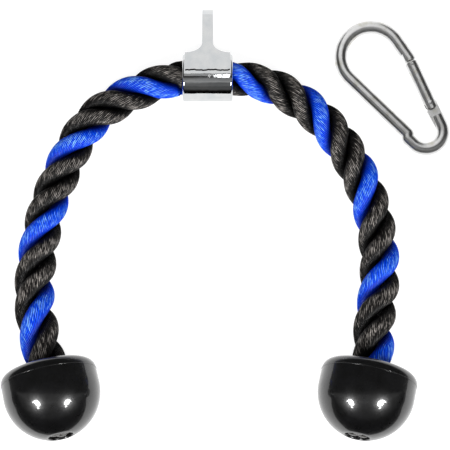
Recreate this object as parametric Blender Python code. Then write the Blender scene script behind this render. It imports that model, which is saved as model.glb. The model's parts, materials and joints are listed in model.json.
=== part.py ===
"""Triceps rope attachment, lying flat, with its snap hook beside it.

A three-strand rope runs through a steel collar. The collar carries a welded lug with an eye.
Each rope arm ends in a moulded ball, held on the rope by a washer and a crimped ferrule.
Metres, +Z up. The origin is on the floor, under the middle of the whole set.
"""

from math import acos, asin, atan2, ceil, cos, pi, radians, sin, sqrt, tan

import bmesh
import bpy
from mathutils import Matrix, Vector

# Rope
rope_diameter = 0.028
rope_mouth_diameter = 0.0326
rope_point_step = 0.020
rope_lead = 0.004
rope_square_end = 0.0015
rope_bevel_resolution = 4
bend_length = 0.060

# Collar: a steel tube on the rope, and its lug
collar_length = 0.0395
collar_wall = 0.00445
collar_edge_radius = 0.0018
lug_thickness = 0.0084
lug_width = 0.035
lug_eye_diameter = 0.019
lug_eye_distance = 0.0364
lug_foot_radius = 0.0075
lug_foot_sink = 0.0028
lug_edge_radius = 0.0014

# Ball: a round-bottomed moulded stop, measured from its widest ring
ball_radius = 0.0373
ball_wall_height = 0.0194
ball_wall_draft = radians(0.5)
ball_top_edge_radius = 0.0079
ball_crown_height = 0.0025
ball_hole_diameter = 0.019
ball_hole_depth = 0.0040
ball_hole_edge_radius = 0.0010

# Retainer inside the ball
ferrule_wall = 0.0035
ferrule_length = 0.014
washer_diameter = 0.050
washer_thickness = 0.0025
washer_depth = 0.013
retainer_chamfer = 0.0006

# Snap hook: a bent round bar, wide at the head and narrow at the foot
hook_length = 0.122
hook_bar_diameter = 0.010
hook_head_radius = 0.0243
hook_foot_radius = 0.0136
hook_joggle_step = 0.0025
hook_joggle_length = 0.0035
hook_joggle_distance = 0.0062
hook_joggle_lead = 0.004
gate_head_offset = 0.0027
gate_foot_inset = 0.0009
pivot_shoulder_length = 0.0085
pivot_reach = 0.0113
nose_reach = 0.0378
nose_flat_depth = 0.0010
nose_flat_length = 0.0065
nose_land = 0.0020

# Tongues of the hook, flat plates in the middle of the bar
tongue_thickness = 0.0036
tongue_flat_distance = 0.0025
nose_tongue_lip = 0.0016

# Gate: a slotted tube on a rivet, with a latch pin, a plunger and a spring
gate_diameter = 0.010
gate_wall = 0.0011
gate_mouth_gap = 0.0018
gate_ear_reach = 0.0050
rivet_diameter = 0.0030
latch_pin_diameter = 0.0020
latch_pin_inset = 0.0034
plunger_length = 0.0050
plunger_stem_diameter = 0.0034
plunger_stem_length = 0.0030
spring_wire_diameter = 0.0009
spring_turns = 6
spring_stop_thickness = 0.0016
spring_stop_room = 0.0046

# Fits
touching_gap = 0.0003
rope_clearance = 0.0003
sliding_clearance = 0.0004
cut_overrun = 0.001
weld_overlap = 0.0015

# Places in the collar's own frame: X along the rope in the collar, Y towards the lug, Z up from the floor
left_ball_place = (-0.1190, -0.2507)
left_ball_lean = radians(12.5)
right_ball_place = (0.1218, -0.2508)
right_ball_lean = radians(12.2)
ball_lift = radians(6.8)
hook_head_place = (0.1297, 0.0200)
hook_axis_turn = radians(125.0)

# The rope's own route between the collar and the balls, chosen by hand, in metres
left_route = [
    (-0.0380, -0.0042, 0.0179),
    (-0.0502, -0.0082, 0.0168),
    (-0.0729, -0.0195, 0.0156),
    (-0.0921, -0.0350, 0.0154),
    (-0.1058, -0.0562, 0.0154),
    (-0.1159, -0.0787, 0.0155),
    (-0.1242, -0.1006, 0.0156),
    (-0.1295, -0.1234, 0.0160),
    (-0.1330, -0.1469, 0.0180),
    (-0.1342, -0.1718, 0.0226),
    (-0.1314, -0.1963, 0.0290),
]
right_route = [
    (0.0381, -0.0030, 0.0179),
    (0.0504, -0.0063, 0.0168),
    (0.0723, -0.0183, 0.0156),
    (0.0917, -0.0350, 0.0154),
    (0.1070, -0.0550, 0.0154),
    (0.1185, -0.0766, 0.0155),
    (0.1270, -0.0990, 0.0156),
    (0.1320, -0.1224, 0.0160),
    (0.1340, -0.1467, 0.0180),
    (0.1326, -0.1714, 0.0226),
    (0.1289, -0.1964, 0.0290),
]

# Facets
ball_segments = 40
retainer_segments = 30
collar_segments = 40
bar_segments = 18
fine_segments = 20
edge_steps = 4
arc_step = radians(9.0)
spring_points_per_turn = 10
curve_samples = 40

# Sizes that follow from the ones above
rope_radius = rope_diameter / 2
bore_radius = rope_radius + rope_clearance
rope_mouth_girth = rope_mouth_diameter / rope_diameter
ball_mouth_radius = rope_mouth_diameter / 2 + rope_clearance
collar_radius = bore_radius + collar_wall
bar_radius = hook_bar_diameter / 2
gate_radius = gate_diameter / 2
gate_bore_radius = gate_radius - gate_wall
hook_height = max(bar_radius, gate_radius)
slot_half_width = tongue_thickness / 2 + touching_gap
tongue_half_width = sqrt((gate_bore_radius - touching_gap) ** 2 - (tongue_thickness / 2) ** 2)
gate_line_offset = hook_foot_radius - gate_foot_inset
latch_pin_room = latch_pin_diameter / 2 + sliding_clearance
nose_tongue_tip = nose_reach - latch_pin_inset - latch_pin_room - nose_tongue_lip

# Places along the gate, measured from the rivet: the plunger's face, and the stop that backs its spring
plunger_face = tongue_flat_distance + touching_gap
spring_stop_face = nose_tongue_tip - spring_stop_room - spring_stop_thickness
spring_length = spring_stop_face - plunger_face - plunger_length - 2 * touching_gap


# Helpers


def clear_scene():
    """Empty the scene, so that it holds the attachment alone."""
    for obj in list(bpy.data.objects):
        bpy.data.objects.remove(obj, do_unlink=True)


def surface(name, colour, roughness, metallic=0.0):
    """A plain Principled material."""
    material = bpy.data.materials.new(name)
    material.use_nodes = True
    shader = material.node_tree.nodes["Principled BSDF"]
    shader.inputs["Base Color"].default_value = (*colour, 1.0)
    shader.inputs["Roughness"].default_value = roughness
    shader.inputs["Metallic"].default_value = metallic
    return material


def link(name, data, carrier, material=None):
    """Put data into the scene as a named object that its carrier holds."""
    obj = bpy.data.objects.new(name, data)
    bpy.context.scene.collection.objects.link(obj)
    obj.parent = carrier
    if material:
        data.materials.append(material)
    return obj


def empty(name, carrier=None, place=(0.0, 0.0, 0.0)):
    """An empty that holds pieces, at a place in its carrier's frame."""
    obj = link(name, None, carrier)
    obj.location = place
    return obj


def finish_mesh(name, bm, smooth=True):
    """Turn a bmesh into a mesh with outward faces and sharp edges kept."""
    bmesh.ops.recalc_face_normals(bm, faces=bm.faces)
    mesh = bpy.data.meshes.new(name)
    bm.to_mesh(mesh)
    bm.free()
    if smooth:
        mesh.shade_smooth()
        mesh.set_sharp_from_angle(angle=radians(35))
    return mesh


def turned(name, profile, segments):
    """A solid of revolution about Z: profile is a closed loop of (radius, height)."""
    bm = bmesh.new()
    rings = []
    for step in range(segments):
        angle = 2 * pi * step / segments
        rings.append([bm.verts.new((r * cos(angle), r * sin(angle), z)) for r, z in profile])
    for step in range(segments):
        here, there = rings[step], rings[(step + 1) % segments]
        for i in range(len(profile)):
            j = (i + 1) % len(profile)
            bm.faces.new((here[i], there[i], there[j], here[j]))
    return finish_mesh(name, bm)


def cylinder(name, radius, length, segments):
    """A closed cylinder about Z, centred on its middle."""
    bm = bmesh.new()
    bmesh.ops.create_cone(
        bm, cap_ends=True, segments=segments, radius1=radius, radius2=radius, depth=length
    )
    return finish_mesh(name, bm)


def prism(name, outline, low, high):
    """A flat plate: a closed outline in X and Y, from low to high in Z."""
    bm = bmesh.new()
    floor = [bm.verts.new((x, y, low)) for x, y in outline]
    roof = [bm.verts.new((x, y, high)) for x, y in outline]
    bm.faces.new(floor)
    bm.faces.new(roof)
    for i in range(len(outline)):
        j = (i + 1) % len(outline)
        bm.faces.new((floor[i], floor[j], roof[j], roof[i]))
    return finish_mesh(name, bm)


def boolean(target, tool, operation="DIFFERENCE"):
    """Cut a tool out of the target, or join it on, and keep the tool as a hidden guide."""
    modifier = target.modifiers.new(tool.name, "BOOLEAN")
    modifier.operation = operation
    modifier.solver = "EXACT"
    modifier.object = tool
    tool.hide_render = True
    tool.display_type = "WIRE"


def rounded(obj, width, segments=2, limit=radians(50)):
    """Round an object's sharp edges."""
    bevel = obj.modifiers.new("rounded_edges", "BEVEL")
    bevel.width = width
    bevel.segments = segments
    bevel.limit_method = "ANGLE"
    bevel.angle_limit = limit


def arc(centre, radius, start, end, step=arc_step):
    """Points on an arc in a plane, from start to end, both included."""
    count = max(1, ceil(abs(end - start) / step - 1e-9))
    angles = [start + (end - start) * i / count for i in range(count + 1)]
    return [(centre[0] + radius * cos(a), centre[1] + radius * sin(a)) for a in angles]


def smooth_curve(start, points, end):
    """Dense points on the Catmull-Rom curve through the points, steered by a start and an end."""
    ends = [start, *points, end]
    dense = [points[0]]
    for before, a, b, after in zip(ends, ends[1:], ends[2:], ends[3:]):
        for step in range(1, curve_samples + 1):
            t = step / curve_samples
            dense.append(
                (
                    2 * a
                    + (b - before) * t
                    + (2 * before - 5 * a + 4 * b - after) * t**2
                    + (3 * a - before - 3 * b + after) * t**3
                )
                / 2
            )
    return dense


def path_length(points):
    """The length of a line through points."""
    return sum((b - a).length for a, b in zip(points, points[1:]))


def place_on(points, distance):
    """The place on a line at a distance from its start, and the line's direction there."""
    for here, there in zip(points, points[1:]):
        run = (there - here).length
        if distance <= run or there is points[-1]:
            break
        distance -= run
    direction = (there - here).normalized()
    return here + direction * distance, direction


def stretch(points, start, end, step):
    """A piece of a line from one distance on it to another, with both ends cut square."""
    count = max(2, round((end - start) / step))
    first, first_direction = place_on(points, start)
    last, last_direction = place_on(points, end)
    inner = [place_on(points, start + (end - start) * i / count)[0] for i in range(1, count)]
    square_first = first + first_direction * rope_square_end
    square_last = last - last_direction * rope_square_end
    return [first, square_first, *inner, square_last, last]


def tube(name, points, diameter, resolution, carrier, material, girths=None):
    """A round tube with closed ends along a line of points, which may each have their own girth."""
    curve = bpy.data.curves.new(name, "CURVE")
    curve.dimensions = "3D"
    curve.bevel_depth = diameter / 2
    curve.bevel_resolution = resolution
    curve.use_fill_caps = True
    spline = curve.splines.new("POLY")
    spline.points.add(len(points) - 1)
    for point, place, girth in zip(spline.points, points, girths or [1.0] * len(points)):
        point.co = (*place, 1.0)
        point.radius = girth
    return link(name, curve, carrier, material)


def along(direction):
    """The turn that lays Z along a direction."""
    return Vector(direction).to_track_quat("Z", "Y")


# Collar


def rounded_ring(inner, outer, low, high, radius):
    """The section of a ring whose outer corners are rounded."""
    section = [(inner, low), (inner, high)]
    section += arc((outer - radius, high - radius), radius, pi / 2, 0.0, pi / 2 / edge_steps)
    section += arc((outer - radius, low + radius), radius, 0.0, -pi / 2, pi / 2 / edge_steps)
    return section


def chamfered_ring(inner, outer, low, high, chamfer):
    """The section of a flat ring whose outer corners are broken."""
    section = [(inner, low), (inner, high), (outer - chamfer, high)]
    return section + [(outer, high - chamfer), (outer, low + chamfer), (outer - chamfer, low)]


def make_collar(carrier, chrome, rope_black):
    """The sleeve, its lug and the rope that it grips, with the rope's axis along X."""
    half = collar_length / 2
    section = rounded_ring(bore_radius, collar_radius, -half, half, collar_edge_radius)
    sleeve = link("collar_sleeve", turned("collar_sleeve", section, collar_segments), carrier, chrome)
    sleeve.location = (0.0, 0.0, collar_radius)
    sleeve.rotation_euler = (0.0, pi / 2, 0.0)
    ends = [Vector((-half, 0.0, collar_radius)), Vector((half, 0.0, collar_radius))]
    tube("rope_in_collar", ends, rope_diameter, rope_bevel_resolution, carrier, rope_black)
    make_lug(carrier, chrome)


def make_lug(carrier, chrome):
    """A plate across the rope's axis: a round end with an eye, and a foot flared along the sleeve."""
    end_radius = lug_width / 2
    root = collar_radius * cos(asin(end_radius / collar_radius)) - weld_overlap
    outline = [(root, -end_radius), *arc((lug_eye_distance, 0.0), end_radius, -pi / 2, pi / 2)]
    outline.append((root, end_radius))
    half = lug_thickness / 2
    lug = link("hanger_lug", prism("hanger_lug", outline, -half, half), carrier, chrome)
    rounded(lug, lug_edge_radius)
    stand = Matrix.Translation((0.0, 0.0, collar_radius)) @ Matrix.Rotation(pi / 2, 4, "Z")
    lug.matrix_basis = stand @ Matrix.Rotation(pi / 2, 4, "X")

    crest = collar_radius - lug_foot_sink + lug_foot_radius
    foot_outline = [(-half - lug_foot_radius, root)]
    foot_outline += arc((-half - lug_foot_radius, crest), lug_foot_radius, -pi / 2, 0.0)
    foot_outline += arc((half + lug_foot_radius, crest), lug_foot_radius, pi, pi * 1.5)
    foot_outline.append((half + lug_foot_radius, root))
    foot = link("lug_foot", prism("lug_foot", foot_outline, -end_radius, end_radius), carrier)
    foot.location = (0.0, 0.0, collar_radius)
    boolean(lug, foot, "UNION")

    saddle_radius = collar_radius + touching_gap
    saddle = link(
        "lug_saddle",
        cylinder("lug_saddle", saddle_radius, collar_length + 2 * cut_overrun, collar_segments),
        carrier,
    )
    saddle.location = (0.0, 0.0, collar_radius)
    saddle.rotation_euler = (0.0, pi / 2, 0.0)
    boolean(lug, saddle)

    eye = link(
        "lug_eye",
        cylinder("lug_eye", lug_eye_diameter / 2, lug_thickness + 2 * cut_overrun, collar_segments),
        carrier,
    )
    eye.location = (0.0, lug_eye_distance, collar_radius)
    eye.rotation_euler = (0.0, pi / 2, 0.0)
    boolean(lug, eye)


# Ball and what holds it on the rope


def ball_outside():
    """The ball's outer section from the rope's mouth to the bottom hole, height up from the widest ring."""
    edge = ball_top_edge_radius
    wall_top_radius = ball_radius - ball_wall_height * tan(ball_wall_draft)
    crown = ball_wall_height + ball_crown_height
    section = [(ball_mouth_radius, crown)]
    shoulder = (wall_top_radius - edge, ball_wall_height - edge)
    section += arc(shoulder, edge, radians(80), ball_wall_draft, radians(20))
    hole = ball_hole_diameter / 2 + ball_hole_edge_radius
    section += arc((0.0, 0.0), ball_radius, 0.0, -acos(hole / ball_radius), radians(8))
    return section


def ball_inside():
    """The ball's inner section, from the bottom hole up round the retainer to where the mouth narrows."""
    hole_radius = ball_hole_diameter / 2
    foot = -sqrt(ball_radius**2 - (hole_radius + ball_hole_edge_radius) ** 2)
    tail_end = tail_floor() - touching_gap
    seat = ball_wall_height + ball_crown_height - washer_depth
    washer_low = seat - washer_thickness - 2 * touching_gap
    ferrule_low = washer_low - ferrule_length - touching_gap
    ferrule_bore = rope_radius + ferrule_wall + 2 * touching_gap
    washer_bore = washer_diameter / 2 + touching_gap
    return [
        (hole_radius, foot + ball_hole_edge_radius),
        (hole_radius, tail_end),
        (bore_radius, tail_end),
        (bore_radius, ferrule_low),
        (ferrule_bore, ferrule_low),
        (ferrule_bore, washer_low),
        (washer_bore, washer_low),
        (washer_bore, seat),
        (bore_radius, seat),
    ]


def tail_floor():
    """The height of the rope's cut end inside the ball."""
    hole_radius = ball_hole_diameter / 2
    return ball_hole_depth - sqrt(ball_radius**2 - hole_radius**2)


def ball_rest_height():
    """How high the widest ring's centre lies when the lifted ball rests on the floor."""
    return max(z * sin(ball_lift) + r * cos(ball_lift) for r, z in ball_outside())


def ball_axis(lean):
    """The direction from the rope's entry to the ball's bottom, leaning towards the other ball."""
    flat = cos(ball_lift)
    return Vector((sin(lean) * flat, -cos(lean) * flat, sin(ball_lift)))


def make_ball(side, place, lean, carrier, looks):
    """The moulded ball with its washer, ferrule and rope tail, on one arm."""
    turn = along(-ball_axis(lean))

    def put(name, section, segments, material):
        piece = link(name + "_" + side, turned(name + "_" + side, section, segments), carrier, material)
        piece.location = place
        piece.rotation_mode = "QUATERNION"
        piece.rotation_quaternion = turn
        return piece

    put("ball", ball_outside() + ball_inside(), ball_segments, looks["black_plastic"])
    inner = rope_radius + touching_gap
    seat = ball_wall_height + ball_crown_height - washer_depth - touching_gap
    washer_low = seat - washer_thickness
    washer_section = chamfered_ring(inner, washer_diameter / 2, washer_low, seat, retainer_chamfer)
    put("washer", washer_section, retainer_segments, looks["steel"])
    ferrule_high = washer_low - touching_gap
    ferrule_low = ferrule_high - ferrule_length
    outer = inner + ferrule_wall
    ferrule_section = chamfered_ring(inner, outer, ferrule_low, ferrule_high, retainer_chamfer)
    put("ferrule", ferrule_section, retainer_segments, looks["steel"])
    top = ball_wall_height + ball_crown_height
    axis = -ball_axis(lean)
    heights = [tail_floor(), top - washer_depth, top - touching_gap]
    tail = [place + axis * height for height in heights]
    girths = [1.0, 1.0, rope_mouth_girth]
    name = "rope_tail_" + side
    tube(name, tail, rope_diameter, rope_bevel_resolution, carrier, looks["rope_black"], girths)


# Arms


def girths_along(points, start, end, length):
    """The rope's girth at points between two distances, growing evenly from the collar to the ball."""
    run = path_length(points)
    girths = []
    for i in range(len(points)):
        distance = start + (end - start) * path_length(points[: i + 1]) / run
        girths.append(1.0 + (rope_mouth_girth - 1.0) * distance / length)
    return girths


def make_arm(side, sign, route, ball_place, lean, assembly, looks):
    """One rope arm and its ball, on an empty at the middle of the rope's bend."""
    centre = Vector((*ball_place, ball_rest_height()))
    axis = ball_axis(lean)
    entry = centre - axis * (ball_wall_height + ball_crown_height)
    mouth = Vector((sign * collar_length / 2, 0.0, collar_radius))
    leaving = mouth + Vector((sign * rope_lead, 0.0, 0.0))
    arriving = entry - axis * rope_lead
    points = [leaving, *map(Vector, route), arriving]
    line = [mouth, *smooth_curve(mouth, points, entry), entry]
    length = path_length(line)
    pivot = place_on(line, bend_length / 2)[0]

    bend = stretch(line, touching_gap, bend_length, rope_point_step / 2)
    tube(
        "rope_" + side + "_bend",
        bend,
        rope_diameter,
        rope_bevel_resolution,
        assembly,
        looks["rope_black"],
        girths_along(bend, touching_gap, bend_length, length),
    )
    arm = empty(side + "_arm_pivot", assembly, pivot)
    free = stretch(line, bend_length + touching_gap, length - touching_gap, rope_point_step)
    local = [point - pivot for point in free]
    tube(
        "rope_" + side,
        local,
        rope_diameter,
        rope_bevel_resolution,
        arm,
        looks["rope_black"],
        girths_along(local, bend_length, length, length),
    )
    make_ball(side, centre - pivot, lean, arm, looks)
    print("arm", side, "free rope", round(length, 4), "entry", rounded_place(entry))
    return arm


def rounded_place(place):
    """A place to a hundredth of a millimetre, for printing."""
    return [round(value, 5) for value in place]


# Snap hook
# Its own frame has the foot's centre at the origin, X from the foot to the head, and Y to the gate.


def hook_layout():
    """Directions and places that the bar, its tongues and the gate share."""
    reach = hook_length - hook_bar_diameter - hook_head_radius - hook_foot_radius
    foot, head = Vector((0.0, 0.0)), Vector((reach, 0.0))

    spine_offset = hook_foot_radius - hook_joggle_step
    spine_slope = asin((hook_head_radius - spine_offset) / reach)
    spine_out = Vector((-sin(spine_slope), -cos(spine_slope)))
    spine_along = Vector((cos(spine_slope), -sin(spine_slope)))

    gate_slope = asin((hook_head_radius + gate_head_offset - gate_line_offset) / reach)
    gate_out = Vector((-sin(gate_slope), cos(gate_slope)))
    gate_along = Vector((cos(gate_slope), sin(gate_slope)))

    rivet = foot + gate_out * gate_line_offset + gate_along * (pivot_shoulder_length + pivot_reach)
    mouth = rivet + gate_along * nose_reach
    return {
        "foot": foot,
        "head": head,
        "spine_offset": spine_offset,
        "spine_out": spine_out,
        "spine_along": spine_along,
        "gate_out": gate_out,
        "gate_along": gate_along,
        "rivet": rivet,
        "mouth": mouth,
    }


def angle_of(direction):
    """The angle of a direction in the hook's plane."""
    return atan2(direction.y, direction.x)


def bar_line(layout):
    """The bar's centreline from the nose over the head, down the spine and round the foot."""
    head, foot = layout["head"], layout["foot"]
    nose = layout["mouth"] + layout["gate_along"] * nose_land
    to_nose = nose - head
    lean = angle_of(to_nose) - acos(hook_head_radius / to_nose.length)
    spine_angle = angle_of(layout["spine_out"])
    line = [tuple(layout["mouth"]), tuple(nose)]
    line += arc(head, hook_head_radius, lean, spine_angle)

    joggle_end = foot + layout["spine_out"] * hook_foot_radius
    joggle_end += layout["spine_along"] * hook_joggle_distance
    joggle_start = foot + layout["spine_out"] * layout["spine_offset"]
    joggle_start += layout["spine_along"] * (hook_joggle_distance + hook_joggle_length)
    line.append(tuple(joggle_start + layout["spine_along"] * hook_joggle_lead))
    line.append(tuple(joggle_start))
    line.append(tuple(joggle_end))
    gate_angle = angle_of(layout["gate_out"]) - 2 * pi
    line += arc(foot, hook_foot_radius, spine_angle, gate_angle)
    shoulder = foot + layout["gate_out"] * hook_foot_radius
    line.append(tuple(shoulder + layout["gate_along"] * pivot_shoulder_length))
    return [Vector((x, y, 0.0)) for x, y in line]


def swept_bar(name, line, radius, segments):
    """A round bar along a flat line, with a closed flat face at each end."""
    bm = bmesh.new()
    up = Vector((0.0, 0.0, 1.0))
    rings = []
    for i, place in enumerate(line):
        before = (place - line[i - 1]).normalized() if i else None
        after = (line[i + 1] - place).normalized() if i < len(line) - 1 else None
        run = ((before or after) + (after or before)).normalized()
        side = run.cross(up)
        stretch_out = 1.0 / max(0.5, run.dot(after or before))
        ring = []
        for step in range(segments):
            angle = 2 * pi * (step + 0.5) / segments
            ring.append(
                bm.verts.new(place + side * radius * stretch_out * cos(angle) + up * radius * sin(angle))
            )
        rings.append(ring)
    for here, there in zip(rings, rings[1:]):
        for i in range(segments):
            j = (i + 1) % segments
            bm.faces.new((here[i], here[j], there[j], there[i]))
    bm.faces.new(rings[0])
    bm.faces.new(rings[-1])
    return finish_mesh(name, bm)


def gate_frame(layout):
    """The frame at the rivet: X along the gate to the nose, Y out of the hook."""
    frame = Matrix.Rotation(angle_of(layout["gate_along"]), 4, "Z")
    frame.translation = layout["rivet"].to_3d()
    return frame


def make_hook_body(carrier, layout, steel):
    """The bent bar with its two tongues, a flat inside the nose and the rivet's hole."""
    body = link(
        "snap_hook_body",
        swept_bar("snap_hook_body", bar_line(layout), bar_radius, bar_segments),
        carrier,
        steel,
    )
    pivot = empty("hook_pivot_guides", carrier)
    pivot.matrix_basis = gate_frame(layout)
    thick = tongue_thickness / 2
    inner = tongue_half_width

    flat = tongue_flat_distance
    flat_corner = sqrt(inner**2 - flat**2)
    ear_end = gate_ear_reach + 2 * touching_gap
    foot = Vector((-pivot_reach - pivot_shoulder_length, -gate_line_offset))
    flare_start = Vector((-ear_end, -gate_radius))
    foot_inner_radius = hook_foot_radius - bar_radius
    to_flare = flare_start - foot
    flare_angle = angle_of(to_flare) + acos(foot_inner_radius / to_flare.length)
    flare_end = foot + foot_inner_radius * Vector((cos(flare_angle), sin(flare_angle)))
    pivot_outline = [
        (-pivot_reach - weld_overlap, gate_radius),
        (0.0, gate_radius),
        (flat, flat_corner),
        (flat, -flat_corner),
        *arc((0.0, 0.0), inner, -acos(flat / inner), -pi / 2),
        (-ear_end / 2, -inner),
        tuple(flare_start),
        tuple(flare_end),
        (flare_end.x, flare_end.y + 2 * weld_overlap),
    ]
    tongue = link("pivot_tongue", prism("pivot_tongue", pivot_outline, -thick, thick), pivot)
    boolean(body, tongue, "UNION")

    mouth = nose_reach
    pin = mouth - latch_pin_inset
    nose_outline = [
        (mouth + weld_overlap, -inner),
        (mouth + weld_overlap, inner),
        (nose_tongue_tip, inner),
        (nose_tongue_tip, -inner),
        (pin - latch_pin_room, -inner),
        *arc((pin, 0.0), latch_pin_room, pi, 0.0, pi / 6),
        (pin + latch_pin_room, -inner),
    ]
    nose = link("nose_tongue", prism("nose_tongue", nose_outline, -thick, thick), pivot)
    boolean(body, nose, "UNION")

    flat_line = -bar_radius + nose_flat_depth
    flat_outline = [
        (mouth - cut_overrun, flat_line),
        (mouth + nose_flat_length, flat_line),
        (mouth + nose_flat_length, -2 * bar_radius),
        (mouth - cut_overrun, -2 * bar_radius),
    ]
    nose_flat = link("nose_flat", prism("nose_flat", flat_outline, -bar_radius, bar_radius), pivot)
    boolean(body, nose_flat)

    hole_radius = rivet_diameter / 2 + touching_gap
    hole = link(
        "rivet_hole", cylinder("rivet_hole", hole_radius, hook_bar_diameter, fine_segments), pivot
    )
    boolean(body, hole)
    return body


def gate_section():
    """The slotted tube's section: a ring with a gap on its outer side, as points across and up."""
    outer_gap = asin(slot_half_width / gate_radius)
    inner_gap = asin(slot_half_width / gate_bore_radius)
    step = 2 * pi / fine_segments
    outside = arc((0.0, 0.0), gate_radius, outer_gap, 2 * pi - outer_gap, step)
    inside = arc((0.0, 0.0), gate_bore_radius, 2 * pi - inner_gap, inner_gap, step)
    return outside + inside


def make_gate(carrier, layout, looks):
    """The gate's shell, rivet and latch pin, all on the rivet's axis."""
    swing = empty("gate_pivot", carrier)
    swing.matrix_basis = gate_frame(layout)
    top = nose_reach - gate_mouth_gap
    shell = link(
        "gate_shell", prism("gate_shell", gate_section(), -gate_ear_reach, top), swing, looks["steel"]
    )
    lay = Matrix(((0.0, 0.0, 1.0), (1.0, 0.0, 0.0), (0.0, 1.0, 0.0)))
    shell.matrix_basis = lay.to_4x4()

    over = gate_radius + cut_overrun
    ear_outline = [
        (0.0, -over),
        *arc((0.0, 0.0), gate_ear_reach, 1.5 * pi, 0.5 * pi),
        (0.0, over),
        (-over, over),
        (-over, -over),
    ]
    ears = link("ear_shape", prism("ear_shape", ear_outline, -over, over), swing)
    boolean(shell, ears)
    back_outline = [(-over, -over), (touching_gap, -over), (touching_gap, 0.0), (-over, 0.0)]
    back = prism("ear_gap", back_outline, -slot_half_width, slot_half_width)
    boolean(shell, link("ear_gap", back, swing))

    stop = link(
        "spring_stop",
        cylinder(
            "spring_stop",
            gate_bore_radius + gate_wall / 2,
            spring_stop_thickness,
            fine_segments,
        ),
        swing,
    )
    stop.location = (spring_stop_face + spring_stop_thickness / 2, 0.0, 0.0)
    stop.rotation_euler = (0.0, pi / 2, 0.0)
    boolean(shell, stop, "UNION")

    pin_place = nose_reach - latch_pin_inset
    for name, place, diameter in (
        ("gate_rivet", 0.0, rivet_diameter),
        ("latch_pin", pin_place, latch_pin_diameter),
    ):
        length = 2 * sqrt(gate_radius**2 - (diameter / 2) ** 2)
        pin = link(name, cylinder(name, diameter / 2, length, fine_segments), swing, looks["steel"])
        pin.location = (place, 0.0, 0.0)
        hole = link(
            name + "_hole",
            cylinder(name + "_hole", diameter / 2 + touching_gap, 2 * over, fine_segments),
            swing,
        )
        hole.location = (place, 0.0, 0.0)
        boolean(shell, hole)
    return swing


def least_gap(points, diameter, skipped):
    """The least gap of a coiled tube to itself, between points more than some steps apart."""
    pairs = ((a, b) for i, a in enumerate(points) for b in points[i + skipped :])
    return min((a - b).length for a, b in pairs) - diameter


def make_plunger(swing, looks):
    """The plunger and the spring behind it, lying along the gate."""
    radius = gate_bore_radius - sliding_clearance
    stem = plunger_stem_diameter / 2
    slide = empty("plunger_slide", swing, (plunger_face, 0.0, 0.0))
    slide.rotation_euler = (0.0, pi / 2, 0.0)
    bm = bmesh.new()
    bmesh.ops.create_cone(
        bm,
        cap_ends=True,
        segments=fine_segments,
        radius1=radius,
        radius2=radius,
        depth=plunger_length,
        matrix=Matrix.Translation((0.0, 0.0, plunger_length / 2)),
    )
    plunger = link("plunger", finish_mesh("plunger", bm), slide, looks["steel"])
    stem_length = plunger_stem_length + weld_overlap
    stem_mesh = cylinder("plunger_stem", stem, stem_length, fine_segments)
    stem_guide = link("plunger_stem", stem_mesh, slide)
    stem_guide.location = (0.0, 0.0, plunger_length - weld_overlap + stem_length / 2)
    boolean(plunger, stem_guide, "UNION")

    coil_radius = radius - spring_wire_diameter / 2
    lead = spring_wire_diameter
    start = plunger_length + touching_gap
    rise = spring_length - 2 * lead
    count = spring_turns * spring_points_per_turn
    coil = []
    for i in range(count + 1):
        turn = 2 * pi * i / spring_points_per_turn
        height = start + lead + rise * i / count
        coil.append(Vector((coil_radius * cos(turn), coil_radius * sin(turn), height)))
    first = coil[0] - Vector((0.0, 0.0, lead))
    last = coil[-1] + Vector((0.0, 0.0, lead))
    tube("gate_spring", [first, *coil, last], spring_wire_diameter, 1, slide, looks["steel"])
    gap = least_gap(coil, spring_wire_diameter, spring_points_per_turn // 2)
    print("gate spring", spring_turns, "turns, least gap to itself", round(gap, 5))


def make_snap_hook(assembly, looks):
    """The whole snap hook, lying flat beside the right arm."""
    layout = hook_layout()
    carrier = empty("snap_hook", assembly)
    turn = Matrix.Rotation(hook_axis_turn, 4, "Z")
    head_place = Vector((*hook_head_place, hook_height))
    turn = turn @ Matrix.Rotation(pi, 4, "X")
    carrier.matrix_basis = Matrix.Translation(head_place - turn @ layout["head"].to_3d()) @ turn
    make_hook_body(carrier, layout, looks["steel"])
    swing = make_gate(carrier, layout, looks)
    make_plunger(swing, looks)
    return swing


# Whole set


def is_piece(obj):
    """True for a solid of the attachment, and not for an empty or a guide."""
    return obj.type != "EMPTY" and not obj.hide_render


def centre_on_footprint(assembly):
    """Move the set so that the origin is on the floor, under the middle of its outline."""
    bpy.context.view_layer.update()
    graph = bpy.context.evaluated_depsgraph_get()
    corners = []
    for obj in filter(is_piece, bpy.data.objects):
        solid = obj.evaluated_get(graph)
        mesh = solid.to_mesh()
        corners += [solid.matrix_world @ vertex.co for vertex in mesh.vertices]
        solid.to_mesh_clear()
    for axis in range(2):
        values = [corner[axis] for corner in corners]
        assembly.location[axis] = -(min(values) + max(values)) / 2
    bpy.context.view_layer.update()
    lows = [min(c[a] for c in corners) + assembly.location[a] for a in range(3)]
    highs = [max(c[a] for c in corners) + assembly.location[a] for a in range(3)]
    print("box", rounded_place(lows), rounded_place(highs), "moved", rounded_place(assembly.location))


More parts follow.
